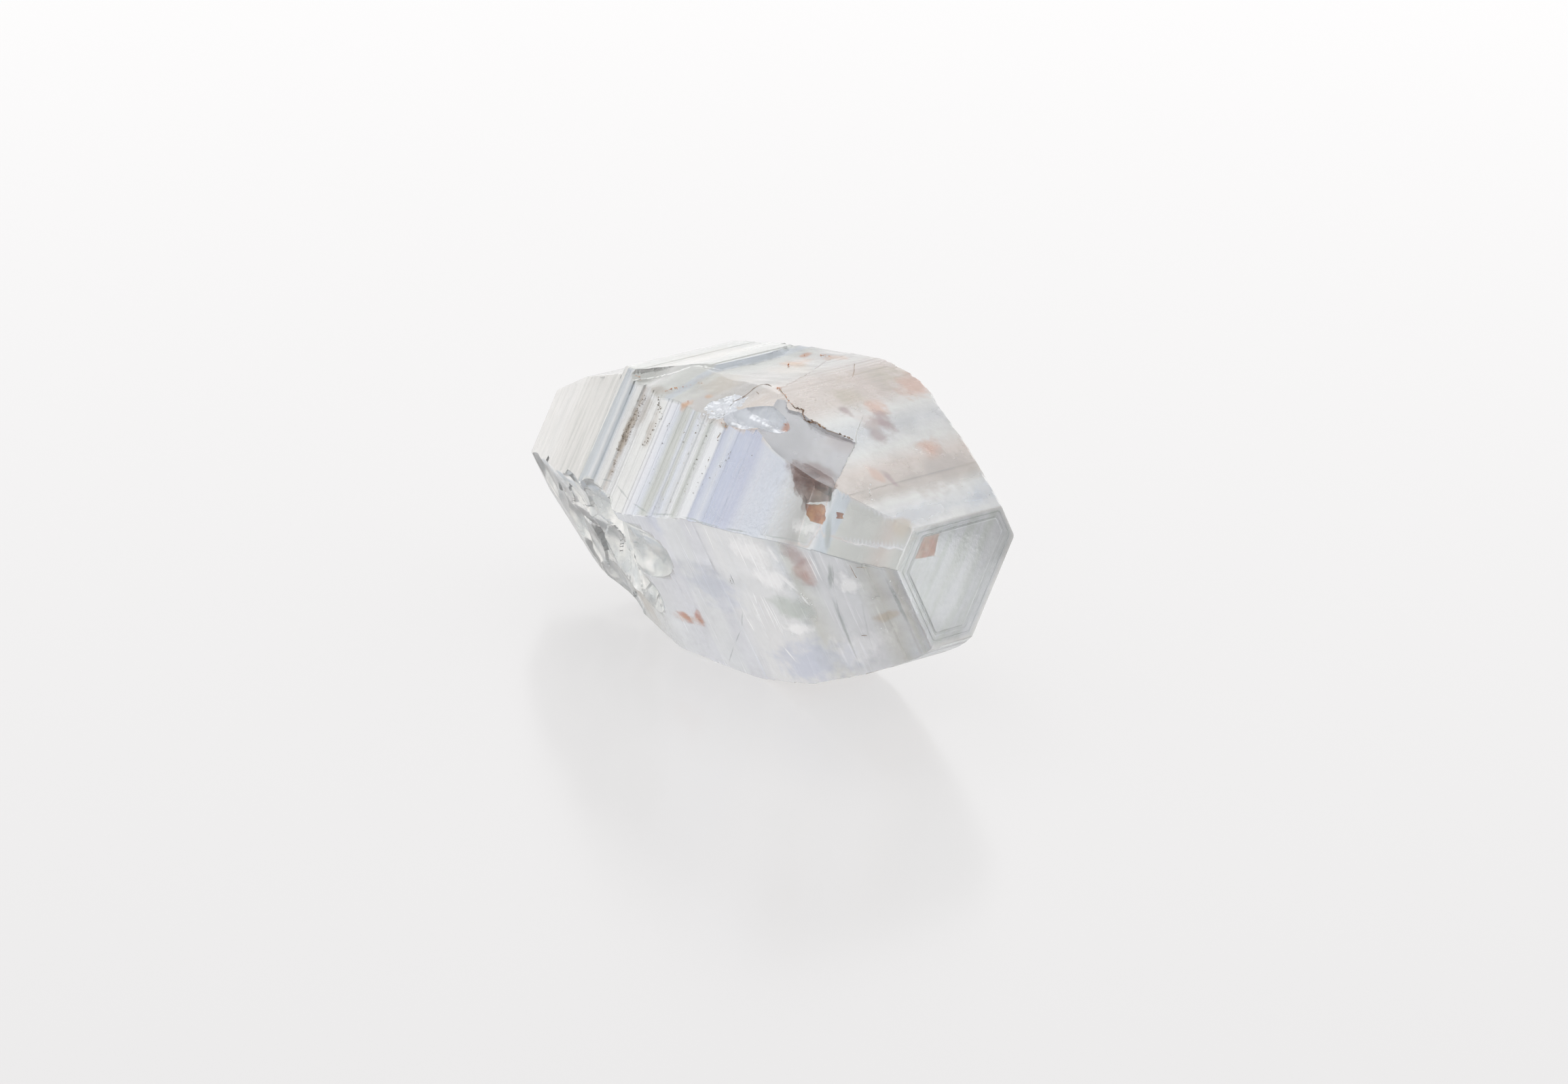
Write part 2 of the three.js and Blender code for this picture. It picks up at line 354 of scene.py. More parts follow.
# What shows on every surface: clear corundum with a faint tint, made milky by fine cracks and pores.
CORUNDUM_IOR = 1.77
BODY_TINT = (0.72, 0.81, 0.90, 1)
BODY_DENSITY = 22.0        # how strongly the tint deepens, for each metre of crystal


def paint(red, green, blue, alpha=1.0):
    """A colour from its display values, 0 to 255."""
    shares = [value / 255 for value in (red, green, blue)]
    return (*[s / 12.92 if s <= 0.04045 else ((s + 0.055) / 1.055) ** 2.4 for s in shares], alpha)


def ramp_up(tree, value, start, end, top=1.0):
    """0 below start, top above end, and smooth between; the other way round if start is above end."""
    return tree.add("ShaderNodeMapRange", {"interpolation_type": "SMOOTHSTEP"},
                    {"Value": value, "From Min": start, "From Max": end, "To Max": top})


def mix(tree, share, first, second):
    """Two colours, mixed."""
    return tree.add("ShaderNodeMix", {"data_type": "RGBA"}, {0: share, 6: first, 7: second}, output=2)


def mix_values(tree, share, first, second):
    """Two values, mixed."""
    return tree.add("ShaderNodeMix", values={0: share, 2: first, 3: second})


def marked(tree, name):
    """What the mesh says of this place, from 0 to 1: whether it is on that face or line."""
    return tree.add("ShaderNodeAttribute", {"attribute_name": name}).out("Fac")


def noise(tree, place, scale, detail=4, stretch=None):
    """Smooth noise about 0.5, finer as its scale grows, and drawn out where it is stretched."""
    if stretch:
        place = tree.add("ShaderNodeMapping", values={"Vector": place, "Scale": stretch})
    return tree.add("ShaderNodeTexNoise", values={"Vector": place, "Scale": scale, "Detail": detail})


def crystal_places(tree):
    """The place in the crystal's frame, in millimetres, and the same unrolled round the c axis.

    The unrolled place has the distance along the axis, and the degrees round it from the middle
    of the upper front face: the top is at -60 and the lower front at 60.
    """
    where = tree.add("ShaderNodeTexCoord").out("Object")
    place = tree.add("ShaderNodeMapping", {"vector_type": "TEXTURE"}, {
        "Vector": where, "Location": REFERENCE, "Rotation": LIE, "Scale": (MM, MM, MM)})
    parts = tree.add("ShaderNodeSeparateXYZ", values={0: place})
    along, across, height = parts.out("X"), parts.out("Y"), parts.out("Z")
    start = radians(FACE_TURNS[UPPER_FRONT])
    ahead = across * cos(start) + height * sin(start)
    beside = height * cos(start) - across * sin(start)
    turned = beside.math("ARCTAN2", ahead) * (180 / pi)
    unrolled = tree.add("ShaderNodeCombineXYZ", values={0: along, 1: turned, 2: 0.0})
    return place, along, unrolled


SPOT_CORE, STREAK_CORE = 0.25, 0.3          # the share of its size where a spot or a line is full


def spot(tree, unrolled, wander, centre, size):
    """A ragged soft-edged spot on the unrolled crystal: 1 at its centre and 0 outside its half sizes."""
    offset = tree.add("ShaderNodeVectorMath", {"operation": "SUBTRACT"}, {0: unrolled, 1: (*centre, 0)})
    shared = tree.add("ShaderNodeVectorMath", {"operation": "DIVIDE"}, {0: offset, 1: (*size, 1)})
    far = tree.add("ShaderNodeVectorMath", {"operation": "LENGTH"}, {0: shared}, output=1)
    return ramp_up(tree, far + wander, 1.0, SPOT_CORE)


def corundum_material(name, finish):
    """Corundum. The finish builds its colour, its share of milkiness, its roughness and its bumps."""
    material = bpy.data.materials.new(name)
    material.use_nodes = True
    material.node_tree.nodes.clear()
    tree = Tree(material.node_tree)
    colour, milk, roughness, normal = finish(tree)
    looks = {"Base Color": colour, "Roughness": roughness, "Normal": normal, "IOR": CORUNDUM_IOR}
    clear = tree.add("ShaderNodeBsdfPrincipled", values={**looks, "Transmission Weight": 1.0})
    milky = tree.add("ShaderNodeBsdfPrincipled", values=looks)
    surface = tree.add("ShaderNodeMixShader", values={0: milk, 1: clear, 2: milky})
    tint = tree.add("ShaderNodeVolumeAbsorption", values={"Color": BODY_TINT, "Density": BODY_DENSITY})
    tree.add("ShaderNodeOutputMaterial", values={"Surface": surface, "Volume": tint})
    return material


def layer_colours(tree, along, stops):
    """Colours, with milkiness as their alpha, that change along the c axis at [place, colour]."""
    start, end = stops[0][0], stops[-1][0]
    share = tree.add("ShaderNodeMapRange", values={"Value": along, "From Min": start, "From Max": end})
    ramp = [((place - start) / (end - start), paint(*colour)) for place, colour in stops]
    return tree.add("ShaderNodeValToRGB", {"stops": ramp}, {0: share})


# The looks of the growth layers: red, green, blue and milkiness.
MILK, CREAM, PEARL = (248, 249, 253, 0.48), (240, 239, 236, 0.4), (235, 236, 239, 0.28)
SKY, BLUE, SLATE = (228, 233, 247, 0.38), (204, 211, 238, 0.36), (198, 207, 217, 0.25)
SAGE, SMOKE, CLEAR = (212, 214, 207, 0.2), (190, 191, 187, 0.16), (250, 250, 247, 0.1)
DUN, STEEL, PURE = (204, 198, 194, 0.28), (172, 181, 188, 0.3), (254, 254, 255, 0.62)
ROSE, LILAC, TAN = (233, 217, 207, 0.32), (246, 246, 254, 0.42), (213, 201, 191, 0.28)
HAZE, FROST = (244, 243, 235, 0.32), (250, 251, 254, 0.36)

# The layers show as bands, as [place along the axis, look]. A colour ramp holds at most 32 of them, so
# the upper front's come in two lots.
# On the top, DUN and the SAGE at the left end are partly painted shade, darker than the bands alone.
TOP_LAYERS_AND_SHADE = (
    (-10.5, CLEAR), (-5.7, CLEAR), (-5.3, SAGE), (-4.9, SAGE), (-4.6, SAGE), (-4.3, CREAM),
    (-3.9, SAGE), (-3.5, SAGE), (-3.4, SLATE), (-3.22, SLATE), (-3.1, SAGE), (-2.4, DUN), (-1.5, DUN),
    (-0.9, ROSE), (0.3, ROSE), (0.9, CREAM), (1.4, PEARL), (2.0, CREAM), (2.5, ROSE), (3.2, TAN),
    (3.5, CREAM), (4.0, PEARL), (4.3, CREAM),
)
UPPER_FRONT_LAYERS = (
    (-5.67, STEEL), (-5.4, STEEL), (-5.25, SLATE), (-5.1, PEARL), (-4.98, STEEL), (-4.88, SLATE),
    (-4.78, PEARL), (-4.62, CREAM), (-4.47, CREAM), (-4.4, TAN), (-4.2, PEARL), (-3.85, CREAM),
    (-3.35, CREAM), (-3.1, LILAC), (-2.75, SKY), (-2.52, SAGE), (-2.3, SAGE), (-2.15, SKY),
    (-2.02, SAGE), (-1.85, SKY), (-1.6, PEARL), (-1.5, MILK), (-1.33, SAGE), (-1.15, PEARL),
    (-1.05, MILK), (-0.8, MILK), (-0.72, BLUE), (-0.45, SKY), (-0.2, BLUE), (0.5, BLUE), (0.8, SKY),
    (1.2, SKY),
)
UPPER_FRONT_REST = (
    (1.2, SKY), (1.45, SKY), (1.75, PEARL), (2.3, SMOKE), (2.5, SAGE), (2.75, PEARL), (2.85, SLATE),
    (3.05, SLATE), (3.1, SAGE), (3.7, SAGE), (4.0, TAN), (4.3, SAGE),
)
# On the lower front, PURE and HAZE are partly painted light, brighter than the bands alone.
LOWER_FRONT_LAYERS_AND_LIGHT = (
    (-10.5, CLEAR), (-5.6, CLEAR), (-3.2, MILK), (-2.4, LILAC), (-2.02, LILAC), (-1.95, MILK),
    (-1.2, MILK), (-1.05, LILAC), (-0.7, LILAC), (-0.2, PURE), (0.5, PURE), (1.5, PURE), (1.8, FROST),
    (2.0, HAZE), (2.6, MILK), (2.75, MILK), (2.9, MILK), (3.3, MILK), (3.8, HAZE), (4.1, FROST),
    (4.2, HAZE), (4.37, PEARL),
)

# Iron stains and clouds in the surface: [place along, degrees round], [half sizes], strength, colour.
RUST, AMBER, BROWN, SAND = (200, 120, 70), (216, 150, 92), (158, 138, 112), (216, 200, 178)
PINK, PLUM, DUSKY, DOVE = (226, 182, 162), (176, 146, 146), (196, 148, 134), (200, 190, 184)
ROSY = (232, 214, 208)
GREEN, LAVENDER, MIST, IRON = (208, 214, 208), (212, 218, 240), (208, 216, 222), (136, 108, 102)
STAINS = (
    ((-4.38, -2), (0.17, 22), 0.85, BROWN), ((-4.05, -11), (0.3, 11), 0.5, BROWN),
    ((-3.5, -6), (0.2, 12), 0.5, BROWN), ((-0.3, -88), (0.7, 16), 0.8, SAND),
    ((0.15, -70), (0.5, 13), 0.7, SAND), ((0.33, -101), (0.6, 9), 0.9, PINK),
    ((0.75, -77), (0.45, 8), 0.8, PINK), ((1.25, -74), (0.5, 8), 0.9, PLUM),
    ((1.5, -64), (0.45, 7), 0.7, PLUM), ((0.6, -60), (0.3, 3.5), 0.8, PLUM),
    ((2.35, -91), (0.45, 8), 0.9, PINK), ((2.95, -92), (0.7, 20), 0.6, DOVE),
    ((3.3, -70), (0.55, 26), 0.6, DOVE), ((2.7, -37), (0.35, 5), 0.7, PINK),
    ((2.95, -43), (0.35, 4), 0.7, PLUM), ((3.9, -60), (0.35, 55), 0.15, MIST),
    ((-2.59, -19), (0.24, 3.5), 0.9, AMBER), ((-2.33, -27), (0.18, 2), 0.7, AMBER),
    ((-2.45, -78), (0.4, 9), 0.9, AMBER), ((-2.8, -88), (0.16, 3.5), 0.9, RUST),
    ((-1.95, -90), (0.4, 3.5), 0.6, AMBER), ((-1.0, -46.5), (0.16, 3), 0.9, RUST),
    ((4.15, -9), (0.25, 13), 0.7, SAND), ((2.05, -9), (0.75, 9), 0.9, IRON),
    ((2.27, 24), (0.4, 8), 0.6, PLUM), ((2.27, 36), (0.36, 7), 0.6, DUSKY),
    ((1.5, 59), (0.7, 12), 0.9, GREEN), ((1.5, 91), (1.7, 15), 0.7, LAVENDER),
    ((-2.1, 24), (0.3, 12), 0.6, LAVENDER), ((-2.6, 80.3), (0.55, 3.5), 0.7, AMBER),
    ((-2.2, 79), (0.26, 5), 0.5, RUST), ((-1.0, 55), (1.4, 16), 0.5, LAVENDER),
    ((-4.9, 90), (0.8, 12), 0.7, SAND), ((3.75, 72), (0.4, 6), 0.7, SAND),
    ((0.45, -27.5), (0.1, 2), 1.0, RUST), ((-0.8, -15), (0.18, 1.5), 0.8, BROWN),
    ((-2.6, -38), (0.9, 14), 0.5, SAND), ((-4.6, -60), (0.9, 30), 0.4, SAND),
    ((-3.8, -22), (0.6, 4), 0.5, BROWN), ((-2.0, -70), (0.9, 12), 0.5, SAND),
    ((1.1, -66), (0.5, 8), 0.5, ROSY), ((-0.2, -84), (0.9, 11), 0.6, ROSY),
)
# Where fine healed cracks make it white, in the same way. The spots at 1.45, 72 and at 3.25, 40 are
# painted glints, and the faint wide one at 2.9, 88 is painted light near the bottom of the lower front.
WHITENED_AND_GLINTS = (
    ((1.1, 27), (0.8, 8), 0.7), ((1.3, 40), (0.7, 8), 0.8), ((1.45, 72), (0.5, 4.5), 1.0),
    ((2.5, 11), (0.35, 5), 0.7), ((3.25, 40), (0.35, 9), 0.8), ((2.9, 88), (1.2, 12), 0.4),
    ((-0.3, -22), (0.6, 4), 0.5),
)
# Fine straight lines: start, end, half width, strength, colour. The white ones are milky too.
WHITE, SHADE, SHADOW = (255, 255, 255), (166, 174, 172), (122, 128, 127)
LINES = (
    ((0.77, 20), (0.75, 38), 0.03, 0.9, WHITE), ((1.08, 21), (1.1, 42), 0.03, 0.9, WHITE),
    ((0.93, 34), (1.07, 45), 0.025, 0.9, WHITE), ((0.31, 54), (0.31, 79), 0.03, 0.9, WHITE),
    ((0.52, 51), (0.46, 60), 0.03, 0.9, WHITE), ((0.74, 50), (0.75, 77), 0.03, 1.0, WHITE),
    ((0.83, 51), (0.91, 79), 0.025, 1.0, WHITE), ((0.95, 55), (0.96, 76), 0.02, 0.9, WHITE),
    ((-0.24, 70), (-0.15, 80), 0.04, 0.8, WHITE), ((0.69, 83), (0.94, 92), 0.04, 0.9, WHITE),
    ((2.6, 19), (2.63, 41), 0.02, 0.8, WHITE), ((2.69, 18), (2.74, 40), 0.02, 0.8, WHITE),
    ((-0.19, 21), (-0.24, 33), 0.03, 0.7, WHITE), ((-0.9, 21), (-0.84, 30), 0.03, 0.7, WHITE),
    ((1.67, 22), (1.81, 31), 0.07, 0.9, WHITE), ((1.62, 35), (1.98, 48), 0.07, 0.9, WHITE),
    ((1.98, 48), (2.08, 57), 0.05, 0.9, WHITE), ((2.58, -14), (2.84, 1), 0.06, 0.9, SHADE),
    ((2.84, 1), (3.12, 22), 0.07, 0.9, SHADE), ((3.12, 22), (2.78, 47), 0.07, 0.7, SHADE),
    ((2.78, 47), (2.7, 100), 0.05, 0.7, SHADE), ((3.17, 22), (2.86, 47), 0.02, 0.35, SHADOW),
    ((2.86, 47), (2.72, 74), 0.02, 0.3, SHADOW), ((2.72, 74), (2.71, 101), 0.02, 0.3, SHADOW),
    ((-0.05, 43), (-0.08, 51), 0.025, 0.8, SHADOW), ((3.42, 50), (3.1, 100), 0.03, 0.3, SHADE),
    ((-0.21, 65.7), (-0.6, 79), 0.02, 0.8, SHADE), ((-0.6, 79), (-1.2, 89.5), 0.02, 0.8, SHADE),
    ((-1.2, 89.5), (-1.85, 100), 0.02, 0.6, SHADE), ((4.12, 30), (4.16, 95), 0.05, 0.6, SHADE),
    ((-8.41, -33), (-8.5, 2), 0.06, 0.5, SAND), ((-4.6, 19), (-4, 18.7), 0.03, 0.6, SHADE),
    ((-4, 18.7), (-3.04, 22.8), 0.03, 0.6, SHADE), ((-3.04, 22.8), (-2.2, 24), 0.03, 0.7, SHADE),
    ((-2.2, 24), (-1.08, 20.6), 0.03, 0.7, SHADE), ((-1.08, 20.6), (0.46, 20.2), 0.03, 0.7, SHADE),
    ((0.46, 20.2), (1.4, 18.6), 0.03, 0.7, SHADE), ((1.4, 18.6), (2.9, 17.5), 0.03, 0.6, SHADE),
    ((2.9, 20), (4.3, 27), 0.03, 0.5, SHADE),
)
DEGREES_PER_MM = 17        # how far round the crystal one millimetre of its surface goes


def streak(tree, flat, wander, start, end, half_width):
    """A thin soft line on the unrolled crystal, which is flat here, in millimetres both ways."""
    (x0, turn0), (x1, turn1) = start, end
    run, rise = x1 - x0, (turn1 - turn0) / DEGREES_PER_MM
    shared = tree.add("ShaderNodeMapping", {"vector_type": "TEXTURE"}, {
        "Vector": flat, "Location": ((x0 + x1) / 2, (turn0 + turn1) / 2 / DEGREES_PER_MM, 0),
        "Rotation": (0, 0, atan2(rise, run)), "Scale": (hypot(run, rise) / 2, half_width, 1)})
    far = tree.add("ShaderNodeVectorMath", {"operation": "LENGTH"}, {0: shared}, output=1)
    return ramp_up(tree, far + wander, 1.0, STREAK_CORE)


STAIN_RAGGED, WHITE_RAGGED, LINE_RAGGED = 1.7, 1.8, 0.4      # how ragged their outlines are
LINE_BEND = (0.05, 0.05, 0)      # how far the fine lines bend, in millimetres
WHITE_MILK = 0.4                 # how much milkier the whitened places are


def spotted(tree, unrolled, wander, colour, stains):
    """A colour with stains over it."""
    for centre, size, strong, stain in stains:
        share = spot(tree, unrolled, wander, centre, size) * strong
        colour = mix(tree, share, colour, paint(*stain))
    return colour


def stained(tree, place, unrolled, colour, milk):
    """A colour and its milkiness, with the stains, the whitened places (some of them painted glints and
    painted light) and the fine lines over them.
    """
    wander = (noise(tree, place, 2.6, 5) - 0.5) * STAIN_RAGGED
    colour = spotted(tree, unrolled, wander, colour, STAINS)
    broken = (noise(tree, place, 3, 4, (1.6, 0.8, 0.8)) - 0.5) * WHITE_RAGGED
    whitened = 0.0
    # White spots: healed cracks, and also painted glints and painted light.
    for centre, size, strong in WHITENED_AND_GLINTS:
        whitened = spot(tree, unrolled, broken, centre, size) * strong + whitened
    flat = tree.add("ShaderNodeMapping", values={"Vector": unrolled, "Scale": (1, 1 / DEGREES_PER_MM, 1)})
    bent = tree.add("ShaderNodeTexNoise", values={"Vector": flat, "Scale": 2.0, "Detail": 3}, output="Color")
    bent = tree.add("ShaderNodeVectorMath", {"operation": "MULTIPLY_ADD"}, {0: bent, 1: LINE_BEND, 2: flat})
    for start, end, half_width, strong, stain in LINES:
        share = streak(tree, bent, wander * LINE_RAGGED, start, end, half_width) * strong
        if stain == WHITE:
            whitened = whitened + share
        else:
            colour = mix(tree, share, colour, paint(*stain))
    whitened = whitened.math("MINIMUM", 1.0)
    return mix(tree, whitened, colour, paint(*WHITE)), milk + whitened * WHITE_MILK


BAND_WANDER = ((1.2, 0.1), (7, 0.04))       # [noise scale, how far the bands' edges stray in mm]
LINE_STRETCH, STREAK_STRETCH, PEBBLE_STRETCH = (18, 0.6, 0.6), (15, 0.5, 0.5), (1.6, 0.9, 0.9)
LINE_TINT, CLOUD_TINT = (200, 206, 212), (214, 216, 216)
LINE_MILK, CLOUD_MILK, STREAK_MILK = 0.15, 0.4, 0.15
LINE_HEIGHT, PIT_HEIGHT, PEBBLE_HEIGHT = 0.3, 0.7, 5.0
SMOOTHEST, ROUGHER_BY = 0.09, 0.14
END_TURN, END_STRETCH = radians(31), (0.3, 1.6, 0.15)
END_DARK, END_LIGHT, END_LINE_TINT = (198, 202, 198), (212, 214, 217), (156, 162, 158)
END_LINE_SHARE, END_MILK = 0.6, 0.44


def grown_finish(tree):
    """The grown faces: bands of different growth, iron stains, and fine lines square to the c axis."""
    place, along, unrolled = crystal_places(tree)
    bent = along
    for scale, stray in BAND_WANDER:
        bent = bent + (noise(tree, place, scale) - 0.5) * stray
    layers = layer_colours(tree, bent, TOP_LAYERS_AND_SHADE)
    colour, milk = layers, layers.out("Alpha")
    split = UPPER_FRONT_REST[0][0]
    past_split = ramp_up(tree, along, split - 0.01, split + 0.01)
    on_upper, on_lower = marked(tree, "upper front"), marked(tree, "lower front")
    for share, stops in ((on_upper, UPPER_FRONT_LAYERS), (on_upper * past_split, UPPER_FRONT_REST),
                         (on_lower, LOWER_FRONT_LAYERS_AND_LIGHT)):
        layers = layer_colours(tree, bent, stops)
        colour = mix(tree, share, colour, layers)
        milk = mix_values(tree, share, milk, layers.out("Alpha"))
    # On the basal end the layers lie along one side of the hexagon.
    sloped = tree.add("ShaderNodeMapping", values={"Vector": place, "Rotation": (END_TURN, 0, 0)})
    end_bands = noise(tree, sloped, 1.4, 4, END_STRETCH)
    end_colour = mix(tree, ramp_up(tree, end_bands, 0.38, 0.62), paint(*END_DARK), paint(*END_LIGHT))
    end_colour = mix(tree, marked(tree, "end line") * END_LINE_SHARE, end_colour, paint(*END_LINE_TINT))
    on_end = marked(tree, "basal end")
    colour = mix(tree, on_end, colour, end_colour)
    milk = mix_values(tree, on_end, milk, END_MILK)
    # Fine lines and clouds lie over the bands. The lines are calmer towards the basal end.
    calm = (ramp_up(tree, along, 0.9, 0.2, 0.65) + 0.35) * (1 - on_lower * 0.5)
    lines = (noise(tree, place, 1.5, 5, LINE_STRETCH) - 0.5) * calm + 0.5
    cloud = noise(tree, place, 1.3, 5)
    colour = mix(tree, ramp_up(tree, lines, 0.4, 0.75, 0.12), colour, paint(*LINE_TINT))
    colour = mix(tree, ramp_up(tree, cloud, 0.45, 0.75, 0.2), colour, paint(*CLOUD_TINT))
    # Bright streaks come in groups on the lower front.
    streaks = ramp_up(tree, noise(tree, place, 1.0, 2, STREAK_STRETCH), 0.58, 0.72) * on_lower
    streaks = streaks * ramp_up(tree, noise(tree, place, 0.8, 2), 0.42, 0.62)
    colour, milk = stained(tree, place, unrolled, colour, milk)
    milk = milk + (lines - 0.5) * LINE_MILK + (cloud - 0.5) * CLOUD_MILK + streaks * STREAK_MILK
    pitted = noise(tree, place, 9)
    # The upper front is pebbled where its bands end.
    pebbled = on_upper * ramp_up(tree, along, -0.2, 0.9) * ramp_up(tree, along, 2.4, 1.4)
    pebbles = noise(tree, place, 9, 2, PEBBLE_STRETCH) * pebbled * PEBBLE_HEIGHT
    relief = lines * LINE_HEIGHT + pitted * PIT_HEIGHT + pebbles
    normal = tree.add("ShaderNodeBump", values={"Height": relief, "Strength": 0.25, "Distance": 0.03 * MM})
    return colour, milk, SMOOTHEST + ramp_up(tree, cloud, 0.3, 0.75, ROUGHER_BY), normal


grown_material = corundum_material("grown faces", grown_finish)

LEDGES = {
    "Ledge Spacing": 0.24,
    "Ledge Rise": 0.05,
    "Line Spacing": 0.075,
    "Line Rise": 0.018,
    "Wander": 0.02,
    "Seed": 3.0,
}
tree, given = geometry_tree("growth ledges", LEDGES)
along = tree.add("GeometryNodeInputNamedAttribute", {"data_type": "FLOAT"}, {"Name": "along"})
facing_side = tree.add("GeometryNodeInputNamedAttribute", {"data_type": "FLOAT"}, {"Name": "facing"})
ledging = tree.add("GeometryNodeInputNamedAttribute", {"data_type": "FLOAT"}, {"Name": "ledging"})
outwards = tree.add("GeometryNodeInputNamedAttribute", {"data_type": "FLOAT_VECTOR"}, {"Name": "outward"})
spot_here = tree.add("GeometryNodeInputPosition")
wandering = tree.add("ShaderNodeTexNoise", values={"Vector": spot_here, "Scale": 2.2, "Detail": 3})
drift = tree.add("ShaderNodeTexNoise", {"noise_dimensions": "1D"}, {"W": along, "Scale": 1.3, "Detail": 1})


def steps(spacing, rise, salt):
    """Treads of random height: one value for each stretch of the spacing, different on each face."""
    run = (along + wandering * given["Wander"] + drift * spacing * 1.5) / spacing
    tread = run.math("FLOOR")
    key = tree.add("ShaderNodeCombineXYZ", values={0: tread, 1: facing_side, 2: given["Seed"] + salt})
    level_here = tree.add("ShaderNodeTexWhiteNoise", values={"Vector": key})
    return ((level_here - 0.5) + (run - tread - 0.5) * 0.5) * rise


height_over = (steps(given["Ledge Spacing"], given["Ledge Rise"], 0.5)
               + steps(given["Line Spacing"], given["Line Rise"], 7.5)) * ledging
offset = tree.add("ShaderNodeVectorMath", {"operation": "SCALE"}, {0: outwards, "Scale": height_over})
moved = tree.add("GeometryNodeSetPosition", values={"Geometry": given["Geometry"], "Offset": offset})
tree.finish(moved, given["Material"])
grow_by(crystal, tree, {**LEDGES, "Material": grown_material})


# ---- Flats and shell-shaped breaks -----------------------------------------------------------
# The upper front edge has come away along a parting, and a chip has left a rippled shell beside
# it. The lower front of the thin end is broken too, in glassy scoops with sharp ridges.

GROWN, FLAT, BROKEN, OLDER = range(4)
FLAT_GREY, FLAT_PINK = (210, 209, 213), (196, 182, 180)
GLASS, DIM_GLASS, CHIP_BLUE = (236, 234, 230), (202, 206, 206), (224, 228, 237)
OLD_CREAM, OLD_GREY = (240, 237, 232), (212, 211, 205)
FLAT_MILK, GLASS_MILK, CHIP_MILK, OLD_MILK = 0.3, 0.12, 0.1, 0.12
CHIP_STARTS = -2.2         # where along the axis the breaks are the chip's and no longer the thin end's

# Their stains are given as the grown faces' are.
FLAT_STAINS = (((1.45, -42), (0.7, 16), 0.6, FLAT_PINK), ((2.05, -15), (0.65, 6), 0.7, IRON))
CHIP_STAINS = (((0.4, -27.5), (0.2, 4), 0.8, RUST), ((-0.62, -15.4), (0.3, 2.5), 0.8, AMBER))


def flat_finish(tree):
    """The parting flat: smooth and silky, pinkish at its upper right and browner by the iron veil."""
    place, _, unrolled = crystal_places(tree)
    wander = (noise(tree, place, 4) - 0.5) * 0.8
    colour = spotted(tree, unrolled, wander, paint(*FLAT_GREY), FLAT_STAINS)
    fine = noise(tree, place, 4, 3)
    normal = tree.add("ShaderNodeBump", values={"Height": fine, "Strength": 0.06, "Distance": 0.01 * MM})
    return colour, FLAT_MILK + (fine - 0.5) * 0.2, 0.14 + fine * 0.05, normal


def broken_finish(tree):
    """Breaks: clear and glassy, and milkier in the chip on top than in the thin end."""
    place, along, unrolled = crystal_places(tree)
    cloud = noise(tree, place, 1.6, 3)
    in_chip = ramp_up(tree, along, CHIP_STARTS, CHIP_STARTS + 0.2)
    colour = mix(tree, ramp_up(tree, cloud, 0.35, 0.65), paint(*GLASS), paint(*DIM_GLASS))
    fine = noise(tree, place, 6, 3)
    normal = tree.add("ShaderNodeBump", values={"Height": fine, "Strength": 0.1, "Distance": 0.01 * MM})
    colour = mix(tree, in_chip, colour, paint(*CHIP_BLUE))
    colour = spotted(tree, unrolled, (cloud - 0.5) * 0.8, colour, CHIP_STAINS)
    milk = ramp_up(tree, cloud, 0.3, 0.75, 0.3) + GLASS_MILK + in_chip * CHIP_MILK
    return colour, milk, 0.13 + fine * 0.14, normal


def older_finish(tree):
    """The older, thinner part: clearer, and creamy."""
    place, _, _ = crystal_places(tree)
    lines = noise(tree, place, 1.2, 4, (6, 0.5, 0.5))
    cloud = noise(tree, place, 0.9, 4)
    colour = mix(tree, ramp_up(tree, lines, 0.4, 0.7), paint(*OLD_CREAM), paint(*OLD_GREY))
    normal = tree.add("ShaderNodeBump", values={"Height": lines, "Strength": 0.3, "Distance": 0.04 * MM})
    return colour, OLD_MILK + (cloud - 0.5) * 0.3, 0.06 + cloud * 0.1, normal


flat_material = corundum_material("parting flat", flat_finish)
broken_material = corundum_material("glassy breaks", broken_finish)
older_material = corundum_material("older growth", older_finish)
CRYSTAL_FINISHES = (grown_material, flat_material, broken_material, older_material)
crystal.data.materials.clear()
for material in CRYSTAL_FINISHES:
    crystal.data.materials.append(material)


def turn_outwards(mesh):
    """The faces of a closed mesh are turned to point outwards."""
    work = bmesh.new()
    work.from_mesh(mesh)
    bmesh.ops.recalc_face_normals(work, faces=work.faces)
    work.to_mesh(mesh)
    work.free()


